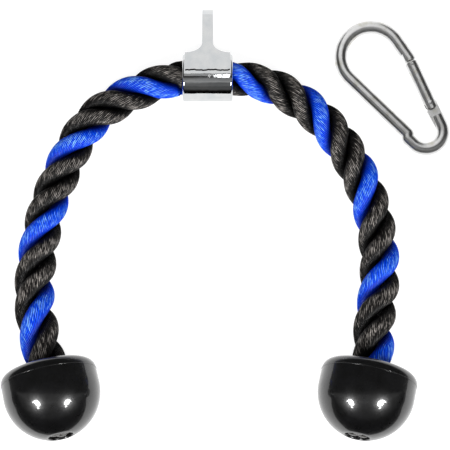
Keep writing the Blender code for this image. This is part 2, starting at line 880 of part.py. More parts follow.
def main():
    clear_scene()
    looks = {
        "chrome": surface("chrome", (0.80, 0.81, 0.82), 0.12, 1.0),
        "steel": surface("satin_steel", (0.62, 0.62, 0.62), 0.30, 1.0),
        "rope_black": surface("rope_black", (0.02, 0.02, 0.022), 0.65),
        "black_plastic": surface("black_plastic", (0.008, 0.008, 0.009), 0.18),
    }
    assembly = empty("assembly")
    make_collar(assembly, looks["chrome"], looks["rope_black"])
    arms = [
        make_arm("left", -1, left_route, left_ball_place, left_ball_lean, assembly, looks),
        make_arm("right", 1, right_route, right_ball_place, -right_ball_lean, assembly, looks),
    ]
    swing = make_snap_hook(assembly, looks)
    centre_on_footprint(assembly)
    for holder in (*arms, swing):
        print(holder.name, rounded_place(holder.matrix_world.translation))
    print("gate runs along", rounded_place(swing.matrix_world.to_3x3() @ Vector((1.0, 0.0, 0.0))))


main()
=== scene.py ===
# %% [markdown]
# # Dressing a triceps rope
#
# A triceps rope is a short length of thick twisted rope that hangs from a gym cable. A steel collar with
# a welded eye grips its middle, a moulded ball stops each hand, and a spring snap hook joins it to the
# cable. This lesson builds the looks of one around a measured frame: the frame says where each piece is
# and which pieces move together, and every surface here is made to fit it.

# %% Load the measured frame
import json
from math import acos, asin, atan2, ceil, cos, pi, radians, sin, sqrt, tan, tau

import bmesh
import bpy
import numpy as np
from mathutils import Matrix, Vector

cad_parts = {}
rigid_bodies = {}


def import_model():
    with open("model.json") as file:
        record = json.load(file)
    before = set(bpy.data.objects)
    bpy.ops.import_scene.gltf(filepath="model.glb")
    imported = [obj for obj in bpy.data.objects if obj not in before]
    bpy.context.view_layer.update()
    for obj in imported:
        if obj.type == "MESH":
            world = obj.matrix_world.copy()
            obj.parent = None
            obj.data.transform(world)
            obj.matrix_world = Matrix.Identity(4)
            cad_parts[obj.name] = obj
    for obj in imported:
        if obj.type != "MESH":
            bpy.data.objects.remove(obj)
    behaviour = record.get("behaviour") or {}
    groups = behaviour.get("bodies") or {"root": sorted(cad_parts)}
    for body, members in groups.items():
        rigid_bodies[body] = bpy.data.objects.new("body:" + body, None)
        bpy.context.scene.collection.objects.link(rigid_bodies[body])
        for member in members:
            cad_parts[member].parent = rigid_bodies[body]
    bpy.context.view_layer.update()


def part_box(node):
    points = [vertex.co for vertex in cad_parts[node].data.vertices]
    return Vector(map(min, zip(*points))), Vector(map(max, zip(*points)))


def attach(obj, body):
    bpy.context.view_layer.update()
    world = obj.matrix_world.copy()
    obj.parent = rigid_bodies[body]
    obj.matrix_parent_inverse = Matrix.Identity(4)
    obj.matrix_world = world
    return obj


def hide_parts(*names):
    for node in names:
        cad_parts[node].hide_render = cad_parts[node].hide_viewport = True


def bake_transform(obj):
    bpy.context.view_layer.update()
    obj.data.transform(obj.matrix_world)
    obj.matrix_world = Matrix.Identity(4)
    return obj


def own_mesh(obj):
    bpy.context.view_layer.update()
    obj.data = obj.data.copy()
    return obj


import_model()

# %% [markdown]
# ## Reading the frame and answering to it
#
# A box is enough to place most pieces. A ring or a pin is the same on both sides of its middle, so the
# middle of its box is the middle of the piece even when it leans. Two such middles give an axis. In return
# each finished piece is attached to the body it moves with, and the frame's nodes it stands for are hidden.


# %% Middles and links
def middle(node):
    """The middle of a node's box."""
    low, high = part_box(node)
    return (low + high) / 2


def link(name, data, *materials):
    """Put a mesh, a curve, a lamp or a camera into the scene as a named object."""
    obj = bpy.data.objects.new(name, data)
    bpy.context.scene.collection.objects.link(obj)
    for material in materials:
        data.materials.append(material)
    return obj


def dress(piece, body, finish, *nodes):
    """Attach a piece to the body it moves with, and hide the frame's nodes that it stands for. The finish is
    not used.
    """
    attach(piece, body)
    if nodes:
        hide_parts(*nodes)


collar_middle = middle("collar_sleeve")
print("collar middle, mm", [round(value * 1000, 1) for value in collar_middle])

# %% [markdown]
# ## The camera
#
# Product pictures of flat-lying things are taken from almost straight above with a long lens, which keeps
# near and far parts the same size. The camera stands 80 degrees up, on the side of the two balls.

# %% Camera
photo_pixels = 450
metres_per_pixel = 0.00078
camera_elevation = radians(80)
camera_distance = 2.2
picture_middle = Vector((-0.0028, -0.0005, 0.0188))

camera_data = bpy.data.cameras.new("camera")
camera_data.sensor_width = 36
camera_data.lens = camera_data.sensor_width * camera_distance / (photo_pixels * metres_per_pixel)
camera_data.clip_end = 20
camera = link("camera", camera_data)
away = Vector((0, -cos(camera_elevation), sin(camera_elevation)))
camera.location = picture_middle + away * camera_distance
camera.rotation_euler = (pi / 2 - camera_elevation, 0, 0)
bpy.context.scene.camera = camera
print("lens, mm", round(camera_data.lens, 1))

# %% [markdown]
# ## Nodes without ceremony
#
# Materials and geometry trees are both made of nodes. One helper adds a node, sets what it is and feeds
# its sockets, either with plain values or with what other nodes give. Feeds are a dictionary by the socket's
# name or number, or just a list in the order of the sockets. A node that is fed in gives its first output.


# %% One helper for every node
def feed(node, feeds):
    """Set a node's inputs to plain values, or link them to other nodes and their sockets."""
    for key, value in feeds.items() if isinstance(feeds, dict) else enumerate(feeds):
        if isinstance(value, bpy.types.Node):
            value = value.outputs[0]
        if isinstance(value, bpy.types.NodeSocket):
            node.id_data.links.new(value, node.inputs[key])
        else:
            node.inputs[key].default_value = value


def add(tree, kind, feeds=(), **settings):
    """Add a node with its own settings, and feed its inputs."""
    node = tree.nodes.new(kind)
    for name, value in settings.items():
        setattr(node, name, value)
    feed(node, feeds)
    return node


def linear(colour):
    """A hex colour, as a screen shows it, in the linear light that shaders work in."""
    shares = [int(colour[i : i + 2], 16) / 255 for i in (1, 3, 5)]
    return (*[c / 12.92 if c <= 0.04045 else ((c + 0.055) / 1.055) ** 2.4 for c in shares], 1.0)


def paint_ramp(ramp, stops):
    """Give a colour ramp its stops, as pairs of place and hex colour, and hand the ramp back."""
    elements = ramp.color_ramp.elements
    for index, (place, colour) in enumerate(stops):
        element = elements[index] if index < len(elements) else elements.new(1)
        element.position = place
        element.color = linear(colour)
    return ramp


def new_material(name, **values):
    """A material with its Principled shader, whose uniform values are set on its own sockets."""
    material = bpy.data.materials.new(name)
    material.use_nodes = True
    shader = material.node_tree.nodes["Principled BSDF"]
    feed(shader, {key.replace("_", " "): value for key, value in values.items()})
    return material, material.node_tree, shader


print("middle grey on a screen, as light", round(linear("#808080")[0], 3))

# %% [markdown]
# ## Studio light
#
# The glossy balls tell how such a set is lit: two small round lamps stand in front, to the left and to the
# right, each with two smaller glows beside it where its reflector shows. A large soft lamp overhead and
# another in front light the set evenly, and both are left out of reflections.


# %% Lamps
def lamp(name, shape, size, place, watts, aim=picture_middle):
    """An area lamp at a place, which faces a point and is itself out of the picture."""
    data = bpy.data.lights.new(name, "AREA")
    data.shape = shape
    data.size, data.size_y = size
    data.energy = watts
    obj = link(name, data)
    obj.location = place
    obj.rotation_euler = (place - aim).to_track_quat("Z", "Y").to_euler()
    obj.visible_camera = False
    return obj


front_offset = Vector((0.80, -0.82, 0.972))
front_parts = [
    ("lamp", Vector((0, 0, 0)), (0.38, 0.27), 13),
    ("rim", Vector((0.27, 0.03, 0)), (0.07, 0.20), 1.1),
    ("low", Vector((0.05, -0.34, 0)), (0.17, 0.11), 1.2),
]
soft_lamps = [
    ("overhead_lamp", Vector((0, -0.07, 1.4)), (1.8, 1.8), 14),
    ("front_fill_lamp", Vector((0, -1.0, 1.1)), (1.2, 0.8), 11),
]
front_lamps = []
for side, sign in (("left", -1), ("right", 1)):
    for part, shift, size, watts in front_parts:
        place = picture_middle + (front_offset + shift) * Vector((sign, 1, 1))
        front_lamps.append(lamp("front_" + side + "_" + part, "ELLIPSE", size, place, watts))
for name, offset, size, watts in soft_lamps:
    soft = lamp(name, "RECTANGLE", size, picture_middle + offset, watts)
    soft.visible_glossy = False
print("lamps", len(front_lamps) + len(soft_lamps))

# %% [markdown]
# ## Panels for the chrome
#
# Polished chrome is only as bright as what it mirrors, so white panels are hung over it. A wall leans over
# the far side and a ceiling continues it, both white; a grey strip is what the collar's crown sees; and a
# small card, which shines straight down, makes the white patch at the collar's right end. They only show
# in reflections, so they don't light the table.


# %% Panels
def panel(name, near, far, width, radiance, shift=0.0, spread=pi):
    """A white panel across the picture, from a near edge to a far one, given as offsets from the collar."""
    slant = Vector((0, *far)) - Vector((0, *near))
    middle = collar_middle + (Vector((shift, *far)) + Vector((shift, *near))) / 2
    facing = Vector((0, slant.z, -slant.y))
    watts = radiance * pi * width * slant.length
    obj = lamp(name, "RECTANGLE", (width, slant.length), middle, watts, middle + facing)
    obj.visible_diffuse = False
    obj.data.spread = spread
    return obj


panel_width = 0.6
card_width = 0.030
card_shift = 0.030
panels = [
    panel("white_wall", (0.240, 0.48), (0.88, -0.02), panel_width, 0.93),
    panel("white_ceiling", (0.068, 0.48), (0.240, 0.48), panel_width, 0.93),
    panel("grey_strip", (-0.028, 0.48), (0.062, 0.48), panel_width, 0.34),
    panel("white_card", (-0.09, 0.47), (0.02, 0.47), card_width, 0.5, card_shift, radians(50)),
]
bpy.context.scene.view_settings.view_transform = "Standard"
print("panels", [obj.name for obj in panels])

# %% [markdown]
# ## The room in the chrome
#
# Past the panels the chrome shows its room: grey air overhead, dark in front, and grey again behind. All of
# it runs left to right, so one angle describes it: how far past the zenith a direction leans, towards the
# wall or away from it. The room is only seen in reflections: the lamps do all the lighting, and the camera
# itself sees plain white air.

# %% Room
room_bands = [
    (-88, "#0a0a0a"),
    (-79, "#0a0a0a"),
    (-70, "#5a5a5a"),
    (-38, "#7c7c7c"),
    (-30, "#a6a6a6"),
    (-14, "#8e8e8e"),
    (-10, "#4a4a4a"),
    (-6, "#3a3a3a"),
    (2, "#101010"),
    (8, "#343434"),
    (60, "#484848"),
]
world = bpy.data.worlds.new("studio")
bpy.context.scene.world = world
world.use_nodes = True
world.cycles_visibility.diffuse = False
air = world.node_tree
toward = add(air, "ShaderNodeTexCoord").outputs["Generated"]
parts = add(air, "ShaderNodeSeparateXYZ", [toward]).outputs
lean = add(air, "ShaderNodeMath", [parts["Y"], parts["Z"]], operation="ARCTAN2")
share = add(air, "ShaderNodeMapRange", [lean, radians(-90), radians(90)])
bands = paint_ramp(add(air, "ShaderNodeValToRGB", [share]), [((a + 90) / 180, c) for a, c in room_bands])
clutter = add(air, "ShaderNodeTexNoise", {"Vector": toward, "Scale": 5.0, "Detail": 3.0})
patchy = add(air, "ShaderNodeMapRange", [clutter, 0.3, 0.7, 0.6, 1.0])
room = add(air, "ShaderNodeMix", {0: 1.0, 6: bands, 7: patchy}, data_type="RGBA", blend_type="MULTIPLY")
straight_view = add(air, "ShaderNodeLightPath").outputs["Is Camera Ray"]
seen_by = {0: straight_view, 6: room.outputs[2], 7: linear("#ffffff")}
seen = add(air, "ShaderNodeMix", seen_by, data_type="RGBA")
feed(air.nodes["Background"], {"Color": seen.outputs[2]})
print("bands of the room", len(room_bands))

# %% [markdown]
# ## The table
#
# Catalogue pictures without any shadow are taken on a light table: an opal sheet, lit from below and from
# above, so that the shadows nearly drown. What the glossy pieces mirror is another thing. Their edges only
# turn pale where they see a white board that ends close in front of the balls and beside them, and all
# beyond it is dark. So there are two surfaces, one for the eye and one for the reflections.


# %% Light table and mirrored board
def sheet(name, west, south, east, north, material):
    """A flat sheet on the ground between four limits."""
    mesh = bpy.data.meshes.new(name)
    corners = [(west, south, 0), (east, south, 0), (east, north, 0), (west, north, 0)]
    mesh.from_pydata(corners, [], [(0, 1, 2, 3)])
    obj = link(name, mesh, material)
    return obj


table_reach = 4.0
board_side = 0.36
board_front = 0.233
board_back = 1.0
opal, _, _ = new_material(
    "opal_acrylic_sheet",
    Base_Color=linear("#8f8f8f"),
    Roughness=0.9,
    Emission_Color=linear("#ffffff"),
    Emission_Strength=0.86,
)
board_white, _, _ = new_material(
    "white_lit_board",
    Base_Color=linear("#202020"),
    Roughness=0.9,
    Emission_Color=linear("#ffffff"),
    Emission_Strength=1.1,
)
table = sheet("light_table", -table_reach, -table_reach, table_reach, table_reach, opal)
table.visible_glossy = False
table.visible_diffuse = False
board = sheet("mirrored_board", -board_side, -board_front, board_side, board_back, board_white)
board.visible_camera = False
board.visible_diffuse = False
board.visible_shadow = False
print("table, m across", 2 * table_reach, "board, m across", 2 * board_side)

# %% [markdown]
# ## Where the rope runs
#
# The rope leaves the collar level, comes down to the table, and rises again to the raised balls. The route
# is a short list of points in the collar's own frame, joined by a Catmull-Rom curve, which
# passes through its points and never kinks.

# %% The route of each arm
rope_diameter = 0.028
rope_lead = 0.004
curve_samples = 40
left_route = [
    (-0.0380, -0.0042, 0.0179),
    (-0.0502, -0.0082, 0.0168),
    (-0.0729, -0.0195, 0.0156),
    (-0.0921, -0.0350, 0.0154),
    (-0.1058, -0.0562, 0.0154),
    (-0.1159, -0.0787, 0.0155),
    (-0.1242, -0.1006, 0.0156),
    (-0.1295, -0.1234, 0.0160),
    (-0.1330, -0.1469, 0.0180),
    (-0.1342, -0.1718, 0.0226),
    (-0.1314, -0.1963, 0.0290),
]
right_route = [
    (0.0381, -0.0030, 0.0179),
    (0.0504, -0.0063, 0.0168),
    (0.0723, -0.0183, 0.0156),
    (0.0917, -0.0350, 0.0154),
    (0.1070, -0.0550, 0.0154),
    (0.1185, -0.0766, 0.0155),
    (0.1270, -0.0990, 0.0156),
    (0.1320, -0.1224, 0.0160),
    (0.1340, -0.1467, 0.0180),
    (0.1326, -0.1714, 0.0226),
    (0.1289, -0.1964, 0.0290),
]
collar_low, collar_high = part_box("collar_sleeve")
collar_length = collar_high.x - collar_low.x
collar_foot = Vector((collar_middle.x, collar_middle.y, 0))


def smooth_curve(start, points, end):
    """Dense points on the Catmull-Rom curve through the points, steered by a start and an end."""
    ends = [start, *points, end]
    dense = [points[0]]
    for before, a, b, after in zip(ends, ends[1:], ends[2:], ends[3:]):
        for step in range(1, curve_samples + 1):
            t = step / curve_samples
            even = (2 * before - 5 * a + 4 * b - after) * t**2
            odd = (3 * a - before - 3 * b + after) * t**3
            dense.append((2 * a + (b - before) * t + even + odd) / 2)
    return dense


def distances(points):
    """How far along a line each of its points lies."""
    steps = [(b - a).length for a, b in zip(points, points[1:])]
    return np.concatenate([[0.0], np.cumsum(steps)])


def evenly(points, start, end, count):
    """Points spread evenly along a line between two distances."""
    along = distances(points)
    places = np.linspace(start, end, count)
    table = np.array(points)
    columns = [np.interp(places, along, table[:, axis]) for axis in range(3)]
    return [Vector(place) for place in zip(*columns)], places


print("points chosen for each arm", len(left_route), len(right_route))

# %% [markdown]
# ## Where each ball sits
#
# Inside each ball a ferrule is crimped on the rope and a washer bears on the moulding. Both are rings, so
# their middles give the ball's axis, and the ball's own sizes then follow from the washer.

# %% Ball places and rope centrelines
ball_wall_height = 0.0194
ball_crown_height = 0.0025
washer_depth = 0.013
washer_thickness = 0.0025
touching_gap = 0.0003
washer_above_ring = ball_wall_height + ball_crown_height - washer_depth - touching_gap - washer_thickness / 2


def ball_frame(side):
    """The middle of the ball's widest ring, and the direction from its bottom to where the rope enters."""
    washer = middle("washer_" + side)
    up_rope = (washer - middle("ferrule_" + side)).normalized()
    return washer - up_rope * washer_above_ring, up_rope


def rope_line(side, route):
    """The arm's centreline from the collar's mouth to the ball."""
    sign = 1 if side == "right" else -1
    centre, up_rope = ball_frame(side)
    entry = centre + up_rope * (ball_wall_height + ball_crown_height)
    mouth = collar_middle + Vector((sign * collar_length / 2, 0, 0))
    leaving = mouth + Vector((sign * rope_lead, 0, 0))
    arriving = entry + up_rope * rope_lead
    placed = [collar_foot + Vector(point) for point in route]
    return [mouth, *smooth_curve(mouth, [leaving, *placed, arriving], entry), entry]


lines = {"left": rope_line("left", left_route), "right": rope_line("right", right_route)}
for side, line in lines.items():
    print(side, "arm, mm of free rope", round(float(distances(line)[-1]) * 1000, 1))

# %% [markdown]
# ## A laid rope, from its section
#
# Three strands wind round each other to the right, and the yarns of each strand wind to the left, so that
# on the outside they run straight along the rope. Each strand is pressed against its two neighbours: its
# section is round outside and flat where they touch. A soft minimum of an ellipse and of the two flanks
# draws that section without any corner.

# %% Section of one strand
strand_count = 3
strand_offset = 0.0072
strand_half_depth = rope_diameter / 2 - strand_offset
strand_half_width = 0.0081
strand_gap = 0.00012
section_softness = 7
section_points = 180


def strand_section():
    """The outline of a strand across the rope, round the strand's own middle, X pointing out of the rope."""
    outline = []
    flank = strand_offset * sin(pi / strand_count) - strand_gap
    for step in range(section_points):
        angle = tau * step / section_points
        round_out = 1 / sqrt((cos(angle) / strand_half_depth) ** 2 + (sin(angle) / strand_half_width) ** 2)
        reaches = [round_out]
        for side in (1, -1):
            lean = sin(side * angle - pi / strand_count)
            if lean > 0:
                reaches.append(flank / lean)
        reach = sum(r**-section_softness for r in reaches) ** (-1 / section_softness)
        outline.append((reach * cos(angle), reach * sin(angle)))
    return outline


def closed_curve(name, outline):
    """A flat closed curve through the points of an outline."""
    curve = bpy.data.curves.new(name, "CURVE")
    curve.dimensions = "3D"
    spline = curve.splines.new("POLY")
    spline.points.add(len(outline) - 1)
    spline.use_cyclic_u = True
    for point, (x, y) in zip(spline.points, outline):
        point.co = (x, y, 0, 1)
    return link(name, curve)


section = strand_section()
section_length = sum((Vector(a) - Vector(b)).length for a, b in zip(section, section[1:] + section[:1]))
section_guide = closed_curve("strand_section", section)
print("round a strand, mm", round(section_length * 1000, 1))

# %% [markdown]
# ## The rope as a geometry tree
#
# A cylinder primitive has what a strand needs: closed ends and even columns. The tree stands three of them,
# then moves every vertex. Its height says how far along the rope it lies, and its angle which yarn it is
# on. The centreline carries two numbers for each point, the turn of the lay and the rope's girth, which
# the tree reads at the same distance. Columns follow the yarns, so a yarn needs only four of them.

# %% Inputs of the rope tree
yarns = 36
columns_per_yarn = 4
yarn_depth = 0.0005
yarn_unevenness = 0.00016
uneven_cells_per_metre = 420.0
uneven_stretch = (1.0, 1.0, 0.12)
ring_step = 0.0017
strand_mean_radius = section_length / tau
yarn_turns_per_lay = tau * rope_diameter / 2 / section_length
rope_sockets = {
    "Geometry": "Geometry",
    "Section": "Object",
    "Length": "Float",
    "Rings": "Int",
    "Columns": "Int",
    "Yarns": "Float",
    "Yarn depth": "Float",
    "Unevenness": "Float",
    "Yarn turns": "Float",
    "Strand offset": "Float",
    "Strand radius": "Float",
    "Rope radius": "Float",
    "Black fibre": "Material",
    "Blue fibre": "Material",
}


def interface(tree, sockets):
    """Give a geometry tree its named inputs and its geometry output, and say the identifier of each input."""
    tree.interface.new_socket("Geometry", in_out="OUTPUT", socket_type="NodeSocketGeometry")
    found = {}
    for name, kind in sockets.items():
        socket = tree.interface.new_socket(name, in_out="INPUT", socket_type="NodeSocket" + kind)
        found[name] = socket.identifier
    return found


def plain_mesh(obj):
    """The mesh that an object's modifiers lead to, as data of its own."""
    bpy.context.view_layer.update()
    graph = bpy.context.evaluated_depsgraph_get()
    return bpy.data.meshes.new_from_object(obj.evaluated_get(graph), depsgraph=graph)


def grown(name, guide_mesh, tree, ids, values):
    """The plain mesh that a geometry tree grows from a guide, with its inputs set by their identifiers."""
    guide = link(name + "_guide", guide_mesh)
    modifier = guide.modifiers.new(name, "NODES")
    modifier.node_group = tree
    for key, value in values.items():
        modifier[ids[key]] = value
    mesh = plain_mesh(guide)
    bpy.data.objects.remove(guide, do_unlink=True)
    mesh.name = name
    return link(name, mesh)


# %% [markdown]
# The tree is built in steps, each a function of its own: it stands the straight strands, reads the
# centreline beside every vertex, and finds the strand's section and its yarns there. The last step puts
# these together, then moves and paints the mesh.


# %% Straight strands
def straight_strands(tree, given):
    """Three straight strands that know their number, and each vertex's own coordinates on its strand."""
    sizes = {
        "Vertices": given["Columns"],
        "Side Segments": given["Rings"],
        "Radius": given["Strand radius"],
        "Depth": given["Length"],
    }
    straight = add(tree, "GeometryNodeMeshCylinder", sizes, fill_type="TRIANGLE_FAN")
    dots = add(tree, "GeometryNodePoints", [strand_count])
    copies = add(tree, "GeometryNodeInstanceOnPoints", {"Points": dots, "Instance": straight})
    numbered = add(
        tree,
        "GeometryNodeStoreNamedAttribute",
        {"Geometry": copies, "Name": "strand", "Value": add(tree, "GeometryNodeInputIndex")},
        data_type="FLOAT",
        domain="INSTANCE",
    )
    strands = add(tree, "GeometryNodeRealizeInstances", [numbered])
    strand = add(tree, "GeometryNodeInputNamedAttribute", {"Name": "strand"}, data_type="FLOAT")
    place = add(tree, "GeometryNodeInputPosition")
    split = add(tree, "ShaderNodeSeparateXYZ", [place]).outputs
    half_length = add(tree, "ShaderNodeMath", [given["Length"], 0.5], operation="MULTIPLY")
    along = add(tree, "ShaderNodeMath", [split["Z"], half_length], operation="ADD")
    angle = add(tree, "ShaderNodeMath", [split["Y"], split["X"]], operation="ARCTAN2")
    flat = add(tree, "ShaderNodeCombineXYZ", [split["X"], split["Y"]])
    radius = add(tree, "ShaderNodeVectorMath", [flat], operation="LENGTH").outputs["Value"]
    share = add(tree, "ShaderNodeMath", [radius, given["Strand radius"]], operation="DIVIDE")
    number_step = add(tree, "ShaderNodeCombineXYZ", [strand])
    shifted = add(tree, "ShaderNodeVectorMath", [place, number_step], operation="ADD")
    return strands, strand, shifted, along, angle, share


# %% Reading the centreline
def read_centreline(tree, given, along):
    """At a distance along the centreline: the lay, the girth, the place and the two directions across."""
    centreline = add(tree, "GeometryNodeMeshToCurve", [given["Geometry"]])
    samples = []
    for name in ("lay", "girth"):
        value = add(tree, "GeometryNodeInputNamedAttribute", {"Name": name}, data_type="FLOAT")
        wanted = {"Curves": centreline, "Value": value, "Length": along}
        samples.append(add(tree, "GeometryNodeSampleCurve", wanted, mode="LENGTH", data_type="FLOAT").outputs)
    at_lay, at_girth = samples
    up = add(tree, "ShaderNodeCombineXYZ", [0.0, 0.0, 1.0])
    level = add(tree, "ShaderNodeVectorMath", [up, at_lay["Tangent"]], operation="CROSS_PRODUCT")
    side = add(tree, "ShaderNodeVectorMath", [level], operation="NORMALIZE")
    rise = add(tree, "ShaderNodeVectorMath", [at_lay["Tangent"], side], operation="CROSS_PRODUCT")
    return at_lay["Value"], at_girth["Value"], at_lay["Position"], side, rise


# %% The strand's section and its yarns
def section_at(tree, given, angle, lay):
    """The strand's outline, read a little further round at each ring, so that the yarns wind back."""
    share_round = add(tree, "ShaderNodeMath", [angle, tau], operation="DIVIDE")
    wound_back = add(tree, "ShaderNodeMath", [lay, given["Yarn turns"]], operation="MULTIPLY")
    turn = add(tree, "ShaderNodeMath", [share_round, wound_back], operation="SUBTRACT")
    factor = add(tree, "ShaderNodeMath", [turn], operation="FRACT")
    outline = add(tree, "GeometryNodeObjectInfo", {0: given["Section"]}).outputs["Geometry"]
    wanted = {"Curves": outline, "Factor": factor}
    return add(tree, "GeometryNodeSampleCurve", wanted, mode="FACTOR").outputs["Position"]


def yarn_relief(tree, given, angle, shifted):
    """How far yarns stand proud of the grooves between them, and the swelling that it gives the strand."""
    half_yarns = add(tree, "ShaderNodeMath", [given["Yarns"], 0.5], operation="MULTIPLY")
    phase = add(tree, "ShaderNodeMath", [angle, half_yarns], operation="MULTIPLY")
    wave = add(tree, "ShaderNodeMath", [phase], operation="SINE")
    bulge = add(tree, "ShaderNodeMath", [wave], operation="ABSOLUTE")
    drawn_out = add(tree, "ShaderNodeVectorMath", [shifted, uneven_stretch], operation="MULTIPLY")
    cells = {"Vector": drawn_out, "Scale": uneven_cells_per_metre, "Detail": 1.0}
    grain = add(tree, "ShaderNodeTexNoise", cells)
    sunk = add(tree, "ShaderNodeMath", [bulge, 1.0], operation="SUBTRACT")
    sunk = add(tree, "ShaderNodeMath", [sunk, given["Yarn depth"]], operation="MULTIPLY")
    uneven = add(tree, "ShaderNodeMath", [grain, 0.5], operation="SUBTRACT")
    uneven = add(tree, "ShaderNodeMath", [uneven, given["Unevenness"]], operation="MULTIPLY")
    proud = add(tree, "ShaderNodeMath", [sunk, uneven], operation="ADD")
    proud = add(tree, "ShaderNodeMath", [proud, given["Strand radius"]], operation="DIVIDE")
    return bulge, add(tree, "ShaderNodeMath", [1.0, proud], operation="ADD")


# %% The whole rope tree
def rope_tree():
    """The tree that winds three strands round the centreline it is given."""
    tree = bpy.data.node_groups.new("laid_rope", "GeometryNodeTree")
    ids = interface(tree, rope_sockets)
    given = add(tree, "NodeGroupInput").outputs
    strands, strand, shifted, along, angle, share = straight_strands(tree, given)
    lay, girth, line_place, side, rise = read_centreline(tree, given, along)
    outline = section_at(tree, given, angle, lay)
    bulge, swollen = yarn_relief(tree, given, angle, shifted)

    # Out from the rope's middle
    swollen_share = add(tree, "ShaderNodeMath", [share, swollen], operation="MULTIPLY")
    reach = add(tree, "ShaderNodeMath", [swollen_share, girth], operation="MULTIPLY")
    offset = add(tree, "ShaderNodeMath", [given["Strand offset"], girth], operation="MULTIPLY")
    offset = add(tree, "ShaderNodeCombineXYZ", [offset])
    reached = add(tree, "ShaderNodeVectorMath", {0: outline, "Scale": reach}, operation="SCALE")
    from_middle = add(tree, "ShaderNodeVectorMath", [reached, offset], operation="ADD")
    far_out = add(tree, "ShaderNodeVectorMath", [from_middle], operation="LENGTH").outputs["Value"]
    far_out = add(tree, "ShaderNodeMath", [far_out, girth], operation="DIVIDE")
    height = add(tree, "ShaderNodeMath", [far_out, given["Rope radius"]], operation="DIVIDE")

    # Turned to the lay, and set on the centreline
    strand_turn = add(tree, "ShaderNodeMath", [strand, strand_count], operation="DIVIDE")
    lay_turn = add(tree, "ShaderNodeMath", [lay, strand_turn], operation="ADD")
    lay_angle = add(tree, "ShaderNodeMath", [lay_turn, tau], operation="MULTIPLY")
    turning = {"Vector": from_middle, "Angle": lay_angle}
    wound = add(tree, "ShaderNodeVectorRotate", turning, rotation_type="Z_AXIS")
    across = add(tree, "ShaderNodeSeparateXYZ", [wound]).outputs
    sideways = add(tree, "ShaderNodeVectorMath", {0: side, "Scale": across["X"]}, operation="SCALE")
    upwards = add(tree, "ShaderNodeVectorMath", {0: rise, "Scale": across["Y"]}, operation="SCALE")
    final = add(tree, "ShaderNodeVectorMath", [sideways, upwards], operation="ADD")
    final = add(tree, "ShaderNodeVectorMath", [final, line_place], operation="ADD")

    # Keep what the fibre material needs, then move and paint
    kept = strands
    for name, value, kind in (
        ("straight", shifted, "FLOAT_VECTOR"),
        ("crest", bulge, "FLOAT"),
        ("height", height, "FLOAT"),
    ):
        store = {"Geometry": kept, "Name": name, "Value": value}
        kept = add(tree, "GeometryNodeStoreNamedAttribute", store, data_type=kind, domain="POINT")
    moved = add(tree, "GeometryNodeSetPosition", {"Geometry": kept, "Position": final})
    smooth = add(tree, "GeometryNodeSetShadeSmooth", {"Geometry": moved})
    black = add(tree, "GeometryNodeSetMaterial", {"Geometry": smooth, "Material": given["Black fibre"]})
    is_first = add(tree, "FunctionNodeCompare", [strand, 0.5], data_type="FLOAT", operation="LESS_THAN")
    blue_strand = {"Geometry": black, "Selection": is_first, "Material": given["Blue fibre"]}
    add(tree, "NodeGroupOutput", [add(tree, "GeometryNodeSetMaterial", blue_strand)])
    return tree, ids


laid_rope, laid_rope_ids = rope_tree()
print("nodes in the rope tree", len(laid_rope.nodes))

# %% [markdown]
# ## Fibre
#
# The rope is spun from polypropylene filaments, which are smooth and a little waxy. Along the filament
# they look matt, across it they catch the light in a long streak, so black yarn shows grey threads of
# sheen. That sheen is painted into the colour here as a painted highlight. Real filaments are under a tenth
# of a millimetre wide, too fine to show, so the painted streaks are bundles of them, 0.5 mm wide: noise
# stretched along the yarn in the strand's straight coordinates, lighter on the crests of yarns and strands.
# The grooves between yarns and the valleys between strands get painted shade: a darker colour, because
# light barely gets in.

# %% Fibre material
bundle_width = 0.0005
bundle_run = 0.005
fade_width = 0.005
bundle_relief = 0.0006


